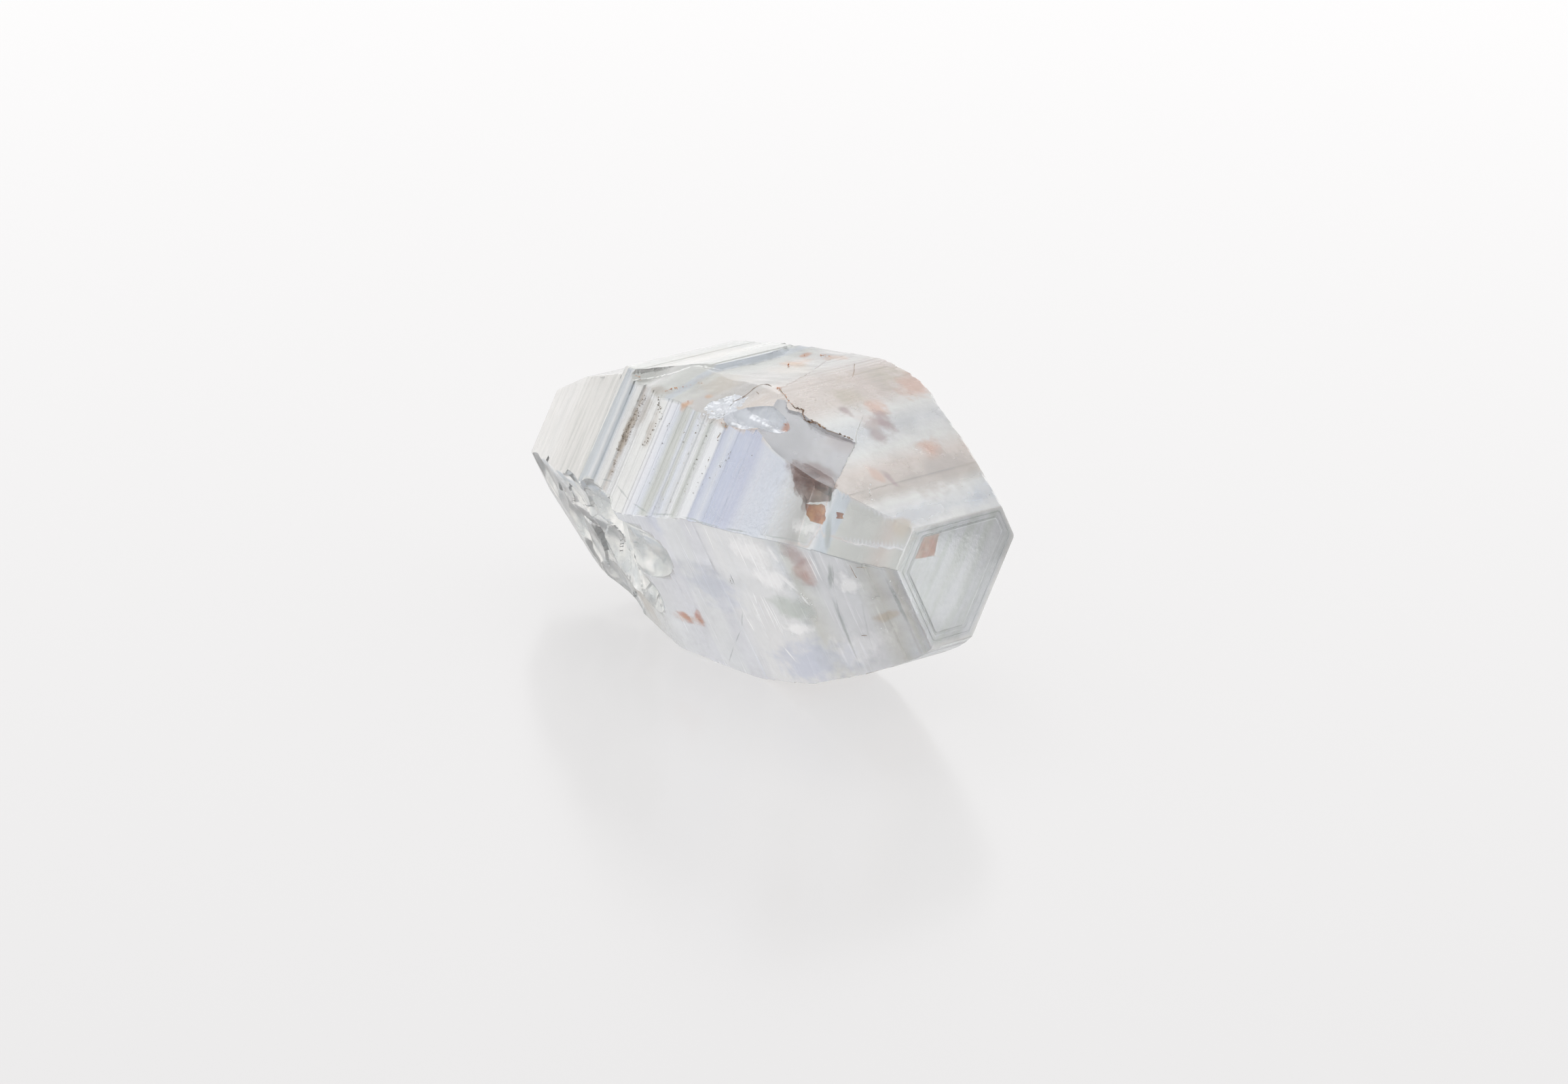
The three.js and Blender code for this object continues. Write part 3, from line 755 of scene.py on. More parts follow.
def solid_over(name, grid, roof, finish, face=None):
    """A closed cutter from a grid of points (rows, columns, 3) up to the same grid moved to its roof.

    It leaves its finish on what it cuts, and the layers of the face it is told.
    """
    rows, columns = grid.shape[:2]
    count = rows * columns
    points = np.concatenate([grid.reshape(-1, 3), (grid + np.array(roof)).reshape(-1, 3)])
    index = np.arange(count).reshape(rows, columns)
    a, b, c, d = index[:-1, :-1], index[:-1, 1:], index[1:, 1:], index[1:, :-1]
    under = np.stack([a, b, c, d], axis=-1).reshape(-1, 4)
    over = under[:, ::-1] + count
    rim = [*index[0, :], *index[1:, -1], *index[-1, -2::-1], *index[-2:0:-1, 0]]
    walls = [(rim[i - 1], rim[i - 1] + count, rim[i] + count, rim[i]) for i in range(len(rim))]
    mesh = bpy.data.meshes.new(name)
    mesh.from_pydata(points.tolist(), [], [*under.tolist(), *over.tolist(), *walls])
    turn_outwards(mesh)
    for material in CRYSTAL_FINISHES:
        mesh.materials.append(material)
    mesh.polygons.foreach_set("material_index", np.full(len(mesh.polygons), finish, dtype=np.int32))
    if face:
        ones = np.ones(len(mesh.vertices), dtype=np.float32)
        mesh.attributes.new(face, "FLOAT", "POINT").data.foreach_set("value", ones)
    cutter = bpy.data.objects.new(name, mesh)
    bpy.context.collection.objects.link(cutter)
    return cutter


def cut_away(piece, cutter):
    """The cutter's space is taken out of the piece."""
    modifier = piece.modifiers.new(cutter.name, "BOOLEAN")
    modifier.operation = "DIFFERENCE"
    modifier.solver = "MANIFOLD"
    modifier.object = cutter
    keep_result(piece)
    bpy.data.objects.remove(cutter)


def smooth_step(value, start, end):
    """0 at the start, 1 at the end, and smooth between; the other way round if start is above end."""
    share = np.clip((value - start) / (end - start), 0, 1)
    return share * share * (3 - 2 * share)


WAVES_EACH = 5             # how many waves are laid over each other at each scale
FINER_WAVES = 1.8          # how much lower the waves of each next, finer scale are


def waves(x, y, scale, seed, octaves=4):
    """Smooth random heights, about -1 to 1, on a plane."""
    draw = np.random.default_rng(seed)
    total = np.zeros(np.broadcast(x, y).shape)
    for octave in range(octaves):
        for _ in range(WAVES_EACH):
            turn, phase = draw.uniform(0, 2 * np.pi, 2)
            pace = scale * 2 ** octave * draw.uniform(0.7, 1.4)
            ripple = np.sin(pace * (x * np.cos(turn) + y * np.sin(turn)) + phase)
            total += ripple / (2.2 * FINER_WAVES ** octave)
    return total / 2


def plane_height(normal, distance, x, u):
    """The height of a plane over a place on the crystal's plan."""
    away = np.array(normal) / np.linalg.norm(normal)
    return (distance - away[0] * x - away[1] * u) / away[2]


def inside(x, u, plan, fray, seed):
    """How far inside a crooked outline each place is, in millimetres: below 0 is outside."""
    points = np.array(plan)
    bent_x = x + fray * waves(x, u, 9, seed, 3)
    bent_u = u + fray * waves(x, u, 9, seed + 1, 3)
    nearest = np.full(x.shape, np.inf)
    crossings = np.zeros(x.shape, dtype=int)
    for (x0, u0), (x1, u1) in zip(points, np.roll(points, -1, axis=0)):
        run, rise = x1 - x0, u1 - u0
        share = np.clip(((bent_x - x0) * run + (bent_u - u0) * rise) / (run * run + rise * rise), 0, 1)
        nearest = np.minimum(nearest, np.hypot(bent_x - x0 - share * run, bent_u - u0 - share * rise))
        if rise:
            meets = x0 + (bent_u - u0) * run / rise
            crossings += ((u0 > bent_u) != (u1 > bent_u)) & (bent_x < meets)
    return np.where(crossings % 2 == 1, nearest, -nearest)


def plan_grid(low_corner, high_corner, step):
    """A grid over a rectangle of the crystal's plan: both coordinates of all its points."""
    along_line = np.arange(low_corner[0], high_corner[0], step)
    across_line = np.arange(low_corner[1], high_corner[1], step)
    return np.meshgrid(along_line, across_line, indexing="ij")


WALL = 6.0                 # cutters rise this far, clear of the crystal
CLEAR_OF_IT = 5.5          # a cutter's underside where it cuts nothing

# The steeper facet near the basal end, and the narrow strip of edge before it. Each plane is
# [the way it faces, its distance from the reference point].
FACETS = (((0.54, -0.72, 0.43), 4.09), ((0.669, -0.625, 0.402), 4.13))
for normal, distance in FACETS:
    x, u = plan_grid((1.6, -5.0), (4.9, 0.6), 0.07)
    under = plane_height(normal, distance, x, u) + 0.006 * waves(x, u, 4, 51)
    grid = np.stack([x, u, under], axis=-1)
    cut_away(crystal, solid_over("facet", grid, (0, 0, WALL + 3), GROWN, "upper front"))

# The clear flat and the shallow valley behind it, where the last layer on top stops.
VALLEY_PLAN = (
    (-3.45, -0.7), (-3.36, 0.4), (-3.4, 1.3), (-3.6, 1.8), (-3.98, 2.3), (-4.05, 3.4), (-2.0, 3.4),
    (-1.75, 1.6), (-1.2, 0.4), (-0.81, -0.93), (-0.35, -1.2), (0.07, -1.5), (0.22, -1.27), (0.6, -1.22),
    (1.2, -1.3), (1.4, -4.0), (-5.3, -4.0), (-5.25, -2.2), (-4.6, -1.76), (-4.1, -0.97),
)
CLEAR_FLAT = (-0.03, -0.29, 0.956), 3.72
VALLEY_FLOOR = 3.5         # its height over the c axis, at its middle
FOOT, FOOT_WIDTH = 0.1, 0.2      # the slope of what has gathered at the foot of the last layer's edge
SWELL = 0.012              # how much both surfaces swell and sink
x, u = plan_grid((-5.6, -3.9), (1.5, 3.0), 0.045)
depth_in = inside(x, u, VALLEY_PLAN, 0.02, 13)
foot = FOOT * smooth_step(depth_in, FOOT_WIDTH, 0) * smooth_step(x, -2.6, -3.1)
valley = VALLEY_FLOOR - 0.05 * smooth_step(x, -1.4, -2.9) + 0.07 * smooth_step(u, 1.4, 2.4)
valley = valley + foot + SWELL * waves(x, u, 2.5, 11)
sloping = plane_height(*CLEAR_FLAT, x, u) + foot + SWELL * waves(x, u, 5, 12)
grid = np.stack([x, u, np.where(depth_in > 0, np.minimum(valley, sloping), CLEAR_OF_IT)], axis=-1)
cut_away(crystal, solid_over("clear flat", grid, (0, 0, WALL), GROWN))

# The parting flat, with the crooked crack along its upper side.
PARTING = (0.398, -0.06, 0.915), 3.067
PARTING_PLAN = (
    (-1.2, -0.95), (-0.81, -0.93), (-0.35, -1.2), (0.07, -1.5), (0.22, -1.27), (0.35, -1.24),
    (0.7, -1.21), (1.03, -1.12), (1.65, -0.6), (2.72, -2.45), (2.75, -4.0), (-1.2, -4.0),
)
x, u = plan_grid((-1.3, -3.7), (2.9, -0.4), 0.04)
depth_in = inside(x, u, PARTING_PLAN, 0.025, 21)
grid = np.stack([x, u, np.where(depth_in > 0, plane_height(*PARTING, x, u), CLEAR_OF_IT)], axis=-1)
cut_away(crystal, solid_over("parting flat", grid, (0, 0, WALL), FLAT))

# The chip: a long shell with ridges running through it, and splinters at its left end.
CHIP_MIDDLE, CHIP_TURN = (-0.25, -2.33), radians(20)
CHIP_HALF_LENGTH, CHIP_HALF_WIDTH, CHIP_DEPTH = 0.92, 0.57, 0.3
SPLINTERS_MIDDLE, SPLINTERS_HALF_LENGTH, SPLINTERS_HALF_WIDTH = (-1.5, -2.3), 0.55, 0.75
SPLINTER_DEPTH = 0.045
RIDGE_HEIGHT, RIDGE_PACE, RIDGE_SLANT = 0.06, 9.0, 2.6       # the ridges run a little askew to the shell
CHIP_GRAIN = 0.03          # how rough the shell is between them
x, u = plan_grid((-2.5, -3.7), (1.2, -1.3), 0.026)
lengthways = (x - CHIP_MIDDLE[0]) * cos(CHIP_TURN) + (u - CHIP_MIDDLE[1]) * sin(CHIP_TURN)
sideways = (u - CHIP_MIDDLE[1]) * cos(CHIP_TURN) - (x - CHIP_MIDDLE[0]) * sin(CHIP_TURN)
over = np.minimum(plane_height(*PARTING, x, u), plane_height(*CLEAR_FLAT, x, u))
far = np.hypot(lengthways / CHIP_HALF_LENGTH, sideways / CHIP_HALF_WIDTH)
ridges = RIDGE_HEIGHT * np.abs(np.sin(RIDGE_PACE * sideways + RIDGE_SLANT * lengthways))
ridges += CHIP_GRAIN * np.abs(waves(x, u, 7, 31))
shell = over - CHIP_DEPTH * np.sqrt(np.clip(1 - far ** 2, 0, 1)) + ridges
shell = np.where(far < 1, shell, CLEAR_OF_IT)
splinters = np.hypot((x - SPLINTERS_MIDDLE[0]) / SPLINTERS_HALF_LENGTH,
                     (u - SPLINTERS_MIDDLE[1]) / SPLINTERS_HALF_WIDTH)
chips = over - SPLINTER_DEPTH * (1 - splinters ** 2) + SPLINTER_DEPTH * np.abs(waves(x, u, 7, 33))
shell = np.minimum(shell, np.where(splinters < 1, chips, CLEAR_OF_IT))
cut_away(crystal, solid_over("chip", np.stack([x, u, shell], axis=-1), (0, 0, WALL), BROKEN))

# The broken lower front: each scoop is [place along, place down the face, half length, half width,
# depth]. It is worked out on the lower front face, and cut outwards from there.
SCOOPS = (
    (-3.35, -1.0, 1.2, 0.95, 0.3), (-4.6, -1.45, 1.1, 1.25, 0.5), (-5.3, 0.2, 1.4, 1.3, 0.46),
    (-4.2, 0.7, 0.9, 0.9, 0.3), (-6.4, -1.0, 1.2, 1.0, 0.3), (-7.2, 0.7, 1.5, 1.3, 0.26),
    (-8.0, -0.5, 1.2, 1.0, 0.2), (-9.2, 0.2, 1.2, 0.9, 0.16), (-6.3, 2.0, 1.2, 0.9, 0.2),
)
OUTSIDE = -0.3             # how deep the cutter goes where there is no scoop: it stays outside
RIPPLE_HEIGHT, RIPPLE_PACE = 0.006, 14       # the faint ripples round the middle of each scoop
FACET_COUNT, FACET_LENGTH = 46, 1.9          # the facets are drawn out down the face
FACET_BEND, FACET_TILT_ALONG, FACET_TILT_DOWN, FACET_STEP = 0.1, 0.16, 0.06, 0.05
face_turn = radians(FACE_TURNS[LOWER_FRONT])
out_of_face = np.array((0, cos(face_turn), sin(face_turn)))
down_face = np.array((0, -sin(face_turn), cos(face_turn)))
x, s = plan_grid((-11.0, -2.9), (-1.9, 3.0), 0.045)
depth = np.full(x.shape, OUTSIDE)
for number, (at_x, at_s, half_x, half_s, deep) in enumerate(SCOOPS):
    far = np.hypot((x - at_x) / half_x, (s - at_s) / half_s)
    ripples = RIPPLE_HEIGHT * np.sin(RIPPLE_PACE * far + 1.7 * number) * (far < 1)
    depth = np.maximum(depth, deep * (1 - far ** 2) + ripples)
# Flat glassy facets step across the scoops, each tilted its own way.
draw = np.random.default_rng(47)
bent_x = x + FACET_BEND * waves(x, s, 3, 42, 2)
bent_s = s + FACET_BEND * waves(x, s, 3, 43, 2)
nearest = np.full(x.shape, np.inf)
facet = np.zeros(x.shape)
for _ in range(FACET_COUNT):
    at_x, at_s = draw.uniform(-10.6, -2.0), draw.uniform(-2.8, 2.9)
    tilt_x = draw.uniform(-FACET_TILT_ALONG, FACET_TILT_ALONG)
    tilt_s = draw.uniform(-FACET_TILT_DOWN, FACET_TILT_DOWN)
    step = draw.uniform(-FACET_STEP, FACET_STEP)
    away = np.hypot(bent_x - at_x, (bent_s - at_s) / FACET_LENGTH)
    facet = np.where(away < nearest, step + tilt_x * (x - at_x) + tilt_s * (s - at_s), facet)
    nearest = np.minimum(nearest, away)
depth += facet * smooth_step(depth, -0.02, 0.12)
surface = np.where(x < BARREL_START + 0.2, reach(TAIL_OUTLINES[LOWER_FRONT], x),
                   reach(BARREL_OUTLINES[LOWER_FRONT], x))
grid = (x[..., None] * np.array((1, 0, 0)) + s[..., None] * down_face
        + (surface - depth)[..., None] * out_of_face)
cut_away(crystal, solid_over("broken front", grid, 4 * out_of_face, BROKEN))

# Crumbs that the cuts leave loose are swept away: only the largest part stays.
work = bmesh.new()
work.from_mesh(crystal.data)
unseen = set(work.verts)
parts = []
while unseen:
    part, edge_of_part = set(), [unseen.pop()]
    while edge_of_part:
        vertex = edge_of_part.pop()
        part.add(vertex)
        found = {edge.other_vert(vertex) for edge in vertex.link_edges} & unseen
        unseen -= found
        edge_of_part += found
    parts.append(part)
parts.sort(key=len)
for part in parts[:-1]:
    bmesh.ops.delete(work, geom=list(part), context="VERTS")
work.to_mesh(crystal.data)
work.free()

# It goes to its place, is worn flat where it rests, and its edges are kept crisp.
CRISP_FROM = radians(14)   # edges that turn more than this stay crisp
crystal.data.transform(lie)
count = len(crystal.data.vertices)
where = np.empty(count * 3, dtype=np.float32)
crystal.data.vertices.foreach_get("co", where)
where = where.reshape(-1, 3)
where[:, 2] = np.maximum(where[:, 2], low.z)
crystal.data.vertices.foreach_set("co", where.reshape(-1))
slots = np.empty(len(crystal.data.polygons), dtype=np.int32)
crystal.data.polygons.foreach_get("material_index", slots)
first_corner = np.empty(len(crystal.data.polygons), dtype=np.int32)
crystal.data.polygons.foreach_get("loop_start", first_corner)
corner_points = np.empty(len(crystal.data.loops), dtype=np.int32)
crystal.data.loops.foreach_get("vertex_index", corner_points)
older = where[corner_points[first_corner], 0] < (lie @ Vector((BARREL_START, 0, 0))).x
slots[older & (slots == GROWN)] = OLDER
crystal.data.polygons.foreach_set("material_index", slots)
crystal.data.shade_smooth()
crystal.data.set_sharp_from_angle(angle=CRISP_FROM)
crystal.data.update()

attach(crystal, "root")
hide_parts(CRYSTAL)


# ---- Iron crust, pits and hairline cracks ----------------------------------------------------
# Brown iron oxide has settled as grains along the crooked crack and in the growth grooves. Rows of
# tiny pits and hairline cracks lie in the surface, and a few white grains are painted glints.

surface_tree = BVHTree.FromObject(crystal, bpy.context.evaluated_depsgraph_get())
START_AWAY = 9             # well outside the crystal, in millimetres from its axis
POINT_SPACING = 0.05       # between the points of a line on the surface


def dropped(x, degrees):
    """The place on the finished surface, from the distance along the axis and the degrees round it."""
    turned = radians(FACE_TURNS[UPPER_FRONT] + degrees)
    out = Vector((0, cos(turned), sin(turned)))
    start = lie @ (Vector((x, 0, 0)) + START_AWAY * out)
    return surface_tree.ray_cast(start, (lie.to_3x3() @ -out).normalized())[0]


def lines_on_surface(name, paths):
    """Thin lines laid on the surface along paths of [place along, degrees round]."""
    points, edges = [], []
    for path in paths:
        first = len(points)
        for (x0, turn0), (x1, turn1) in zip(path, path[1:]):
            length = hypot(x1 - x0, (turn1 - turn0) / DEGREES_PER_MM)
            count = max(1, round(length / POINT_SPACING))
            points += [dropped(x0 + (x1 - x0) * i / count, turn0 + (turn1 - turn0) * i / count)
                       for i in range(count)]
        points.append(dropped(*path[-1]))
        edges += [(i, i + 1) for i in range(first, len(points) - 1)]
    mesh = bpy.data.meshes.new(name)
    mesh.from_pydata(points, edges, [])
    piece = bpy.data.objects.new(name, mesh)
    bpy.context.collection.objects.link(piece)
    return piece


FILM_IOR = 1.08            # light bends only a little as it passes from the crystal into a film


def mineral_material(name, dark, light, scale, roughness, cover=None, middles=()):
    """A mottled mineral. With a cover it is a thin film.

    A film is see-through, open where its noise is under the cover, and fades away from its middles.
    """
    material = bpy.data.materials.new(name)
    material.use_nodes = True
    material.node_tree.nodes.clear()
    tree = Tree(material.node_tree)
    place, _, unrolled = crystal_places(tree)
    mottled = noise(tree, place, scale, 6)
    colour = mix(tree, ramp_up(tree, mottled, 0.35, 0.65), paint(*dark), paint(*light))
    looks = {"Base Color": colour, "Roughness": roughness + mottled * 0.2}
    if cover:
        looks.update({"Transmission Weight": 0.85, "IOR": FILM_IOR})
        wisps = noise(tree, place, scale * 0.6, 5, (1, 1.6, 0.7))
        looks["Alpha"] = ramp_up(tree, wisps, cover, cover + 0.3, 0.92)
        for centre, size in middles:
            looks["Alpha"] *= spot(tree, unrolled, (wisps - 0.5) * 1.4, centre, size)
    surface = tree.add("ShaderNodeBsdfPrincipled", values=looks)
    tree.add("ShaderNodeOutputMaterial", values={"Surface": surface})
    return material


# Grains: small rough lumps scattered beside the lines.
GRAINS = {"Spacing": 0.03 * MM, "Grain Size": 0.03 * MM, "Scatter": 0.04 * MM, "Share Kept": 0.9, "Seed": 1.0}
SMALLEST_GRAIN, LARGEST_GRAIN = (0.35, 0.35, 0.35), (1.2, 1.2, 1.2)     # shares of the grain size
ANY_TURN = (6.28, 6.28, 6.28)
grain_tree, given = geometry_tree("grains along lines", GRAINS)
line = grain_tree.add("GeometryNodeMeshToCurve", values={"Mesh": given["Geometry"]})
line = grain_tree.add("GeometryNodeResampleCurve", {"mode": "LENGTH"},
                      {"Curve": line, "Length": given["Spacing"]})
stray = grain_tree.add("FunctionNodeRandomValue", {"data_type": "FLOAT_VECTOR"},
                       {0: (-1, -1, -1), 1: (1, 1, 1), "Seed": given["Seed"]})
stray = grain_tree.add("ShaderNodeVectorMath", {"operation": "SCALE"}, {0: stray, "Scale": given["Scatter"]})
spread = grain_tree.add("GeometryNodeSetPosition", values={"Geometry": line, "Offset": stray})
kept = grain_tree.add("FunctionNodeRandomValue", {"data_type": "BOOLEAN"},
                      {"Probability": given["Share Kept"], "Seed": given["Seed"] + 1}, output=3)
turned = grain_tree.add("FunctionNodeRandomValue", {"data_type": "FLOAT_VECTOR"},
                        {0: (0, 0, 0), 1: ANY_TURN, "Seed": given["Seed"] + 2})
sizes = grain_tree.add("FunctionNodeRandomValue", {"data_type": "FLOAT_VECTOR"},
                       {0: SMALLEST_GRAIN, 1: LARGEST_GRAIN, "Seed": given["Seed"] + 3})
grain = grain_tree.add("GeometryNodeMeshIcoSphere", values={"Radius": given["Grain Size"], "Subdivisions": 1})
grains = grain_tree.add("GeometryNodeInstanceOnPoints", values={
    "Points": spread, "Selection": kept, "Instance": grain, "Rotation": turned, "Scale": sizes})
grain_tree.finish(grains, given["Material"])

CRUST = (
    ((-0.1, -39.4), (0.08, -38.9), (0.18, -41.2), (0.43, -36.9), (0.64, -37.5), (0.84, -38.7),
     (1.04, -39)),
    ((1.3, -42.6), (1.53, -46.3)), ((0.1, -39.4), (0.26, -40.6)), ((0.5, -37.3), (0.86, -39)),
)
GROOVE_FILL = (
    ((-4.26, -18.8), (-4.37, -10.3), (-4.48, -2.9), (-4.44, 8.5), (-4.29, 15.4)),
    ((-4.2, -12), (-4.3, 2)), ((-3.61, -17), (-3.25, -13), (-3.44, -2.4), (-3.55, 1.7)),
    ((-3.75, -20), (-3.45, -14)),
)
PITS = (
    ((-0.24, -7.4), (-0.28, -4.4), (-0.40, -1.5), (-0.43, 0.5), (-0.44, 2.6), (-0.34, 5.9)),
    ((-0.3, -6), (-0.42, 1)), ((-0.57, 4.6), (-0.75, 8.4)),
    ((-2.32, -13), (-1.96, -3.3), (-1.93, -0.9)), ((-1.95, 17), (-1.9, 20)), ((-2.1, 7), (-2, 10)),
    ((-2.7, 5), (-2.68, 8)), ((-3.1, 2), (-3.1, 6)), ((-1.3, -11), (-1.25, 12)),
    ((-0.8, -12), (-0.9, 14)), ((-2.9, -12), (-2.7, 14)), ((0.43, -12), (0.42, -4)),
    ((-1.75, -13), (-1.6, 18)), ((-2.14, 49), (-2.1, 50)), ((-0.14, 46), (-0.2, 51)),
    ((-1.8, 67), (-1.76, 68)), ((3.25, 72), (3.27, 72.5)), ((4.25, -14), (4.3, -9)),
    ((3.56, -31.5), (3.6, -32)), ((3.72, 25), (3.78, 25.8)),
)
SPECKS = (
    ((-2.65, -21), (-2.5, -19)), ((-3.1, -32.9), (-2.95, -33)), ((-2.6, -76), (-2.35, -73)),
    ((-2.9, -88), (-2.8, -87)), ((-2.55, -89.6), (-2.12, -91.2)), ((-1.08, -46.8), (-0.95, -46)),
    ((0.26, -29.2), (0.42, -27.5), (0.5, -25.6)), ((-0.88, -15.5), (-0.75, -15)),
    ((-3.76, -21.6), (-3.04, -33.5)), ((-5, -26), (-4.8, -25)), ((-1.1, -46.5), (-0.1, -39.6)),
)
# White grains that stand in for glints on the surface: painted glints.
GLINT_FLECKS = (
    ((3.1, 38.6), (3.33, 44.1), (3.52, 47.6)), ((3.66, 51), (3.7, 52)), ((0.95, -60), (1.02, -59)),
    ((0.74, -69), (0.8, -68)), ((2.86, -25), (3.29, -14.9)), ((4.13, 36), (4.16, 38)),
    ((1.5, 47), (2, 47)), ((3.55, 81), (3.6, 82)), ((3.64, 50), (3.66, 51)),
    ((3.57, 95.5), (3.6, 96.5)), ((3.17, 37), (3.24, 43)), ((1.42, 74.5), (1.2, 75)),
    ((0.5, -64), (0.62, -66)), ((2.02, 48), (2.1, 56)),
)
IRON_OXIDE = mineral_material("iron oxide", (88, 68, 54), (162, 128, 98), 9.0, 0.6)
PIT_FILL = mineral_material("pit filling", (92, 84, 74), (140, 128, 110), 9.0, 0.5)
RUSTY = mineral_material("rust", (170, 100, 56), (214, 150, 100), 9.0, 0.6)
# The painted glints' finish: plain glossy white.
GLINT_FINISH = mineral_material("painted glints", (246, 248, 250), (255, 255, 255), 9.0, 0.15)
# What lies along the lines: its name, lines and finish, then its spacing, grain size and scatter in
# millimetres, and the share of the grains that is kept.
for number, (name, paths, finish, spacing, size, scatter, share) in enumerate((
    ("iron_crust", CRUST, IRON_OXIDE, 0.018, 0.022, 0.022, 0.85),
    ("groove_filling", GROOVE_FILL, PIT_FILL, 0.022, 0.018, 0.045, 0.6),
    ("growth_pits", PITS, PIT_FILL, 0.05, 0.016, 0.03, 0.35),
    ("rust_specks", SPECKS, RUSTY, 0.04, 0.018, 0.03, 0.6),
    # White grains as painted glints.
    ("painted_glints", GLINT_FLECKS, GLINT_FINISH, 0.06, 0.02, 0.06, 0.5),
)):
    piece = lines_on_surface(name, paths)
    grow_by(piece, grain_tree, {
        "Spacing": spacing * MM, "Grain Size": size * MM, "Scatter": scatter * MM, "Share Kept": share,
        "Seed": 11.0 + 10 * number, "Material": finish})
    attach(piece, "root")

# Hairline cracks: thin closed threads that follow the surface, half sunk in it.
THREADS = {"Spacing": 0.04 * MM, "Thickness": 0.02 * MM, "Wander": 0.05 * MM, "Bends": 5000.0}
thread_tree, given = geometry_tree("hairline cracks", THREADS)
line = thread_tree.add("GeometryNodeMeshToCurve", values={"Mesh": given["Geometry"]})
line = thread_tree.add("GeometryNodeResampleCurve", {"mode": "LENGTH"},
                       {"Curve": line, "Length": given["Spacing"]})
here = thread_tree.add("GeometryNodeInputPosition")
stray = thread_tree.add("ShaderNodeTexNoise", output="Color", values={
    "Vector": here, "Scale": given["Bends"], "Detail": 2})
stray = thread_tree.add("ShaderNodeVectorMath", {"operation": "SUBTRACT"}, {0: stray, 1: (0.5, 0.5, 0.5)})
stray = thread_tree.add("ShaderNodeVectorMath", {"operation": "SCALE"}, {0: stray, "Scale": given["Wander"]})
line = thread_tree.add("GeometryNodeSetPosition", values={"Geometry": line, "Offset": stray})
round_section = thread_tree.add("GeometryNodeCurvePrimitiveCircle", values={
    "Resolution": 5, "Radius": given["Thickness"] / 2})
thread = thread_tree.add("GeometryNodeCurveToMesh", values={
    "Curve": line, "Profile Curve": round_section, "Fill Caps": True})
thread_tree.finish(thread, given["Material"])

BROWN_CRACKS = (
    ((-1.09, -46.7), (-0.42, -41.5), (-0.14, -39.6), (0.08, -38.9), (0.18, -41.2), (0.43, -36.9),
     (0.64, -37.5), (0.84, -38.7), (1.04, -39), (1.21, -41.1), (1.37, -43.7), (1.53, -46.3)),
    ((-1.5, -28.7), (-1.45, -32.2), (-1.39, -33.9), (-1.47, -39.5), (-1.48, -43.9), (-1.42, -46.3),
     (-1.21, -45.8)),
    ((-1.12, -88.8), (-0.83, -85.5), (-0.59, -81.8)), ((-0.86, -10), (-0.8, -12)),
    ((-1.44, -30.4), (-1.37, -33.6)), ((-1.26, -38.1), (-1.12, -37.2)), ((3.59, 26.1), (3.79, 25.9)),
    ((3.03, 81.4), (3.14, 82.4)), ((3.46, 25.4), (3.49, 34.1)),
)
PALE_CRACKS = (
    ((1.58, -48), (1.92, -35.9), (2.21, -25.3), (2.57, -13.2)),
    ((1.58, -48), (1.41, -51.7), (1.21, -57.9), (0.95, -65.4)),
    ((-1.92, -15.5), (-1.72, -13.7), (-1.47, -13.1)), ((-1.87, -34), (-1.45, -27.7), (-1.4, -24.2)),
    ((-1.37, -13.9), (-1.23, -17), (-1.21, -20.4)),
)
CRACK_FILLING = mineral_material("crack filling", (126, 108, 94), (176, 156, 136), 6.0, 0.6)
PALE_FILLING = mineral_material("pale cracks", (172, 172, 168), (206, 206, 202), 6.0, 0.5)
for name, paths, finish, thickness in (
    ("brown_cracks", BROWN_CRACKS, CRACK_FILLING, 0.016),
    ("pale_cracks", PALE_CRACKS, PALE_FILLING, 0.014),
):
    piece = lines_on_surface(name, paths)
    grow_by(piece, thread_tree, {**THREADS, "Thickness": thickness * MM, "Material": finish})
    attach(piece, "root")


# ---- What is sealed in the crystal -----------------------------------------------------------
# Thin films of iron oxide, small amber grains and white healed cracks lie just under the surface,
# where they were closed in as the crystal grew.

ASKEW = 0.1                # a plane that faces this little outwards, or less, isn't the surface here


def under_surface(x, degrees, depth):
    """A place under the surface, from the distance along the axis and the degrees round it."""
    turned = np.radians(FACE_TURNS[UPPER_FRONT] + degrees)
    out = np.array((0, cos(turned), sin(turned)))
    planes = [((0, cos(radians(t)), sin(radians(t))), reach(outline, np.array(x)))
              for t, outline in zip(FACE_TURNS, BARREL_OUTLINES)]
    planes += [*FACETS, PARTING]
    reaches = []
    for normal, distance in planes:
        normal = np.array(normal) / np.linalg.norm(normal)
        if normal @ out > ASKEW:
            reaches.append((distance - normal[0] * x) / (normal @ out))
    return np.array((x, 0, 0)) + out * (min(reaches) - depth)


def frayed(outline, step, fray, seed):
    """An outline with more points along its sides, moved a little at random."""
    draw = np.random.default_rng(seed)
    points = []
    for start, end in zip(np.array(outline), np.roll(np.array(outline), -1, axis=0)):
        count = max(1, round(np.linalg.norm(end - start) / step))
        points += [start + (end - start) * i / count + draw.uniform(-fray, fray, start.shape)
                   for i in range(count)]
    return points


def film(name, near, far, finish):
    """A closed film between two outlines with the same number of points."""
    count = len(near)
    triangles = tessellate_polygon([near])
    faces = [tuple(t) for t in triangles] + [tuple(i + count for i in t[::-1]) for t in triangles]
    faces += [(i, i + count, (i + 1) % count + count, (i + 1) % count) for i in range(count)]
    mesh = bpy.data.meshes.new(name)
    mesh.from_pydata([lie @ point for point in (*near, *far)], [], faces)
    turn_outwards(mesh)
    mesh.materials.append(finish)
    piece = bpy.data.objects.new(name, mesh)
    bpy.context.collection.objects.link(piece)
    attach(piece, "root")


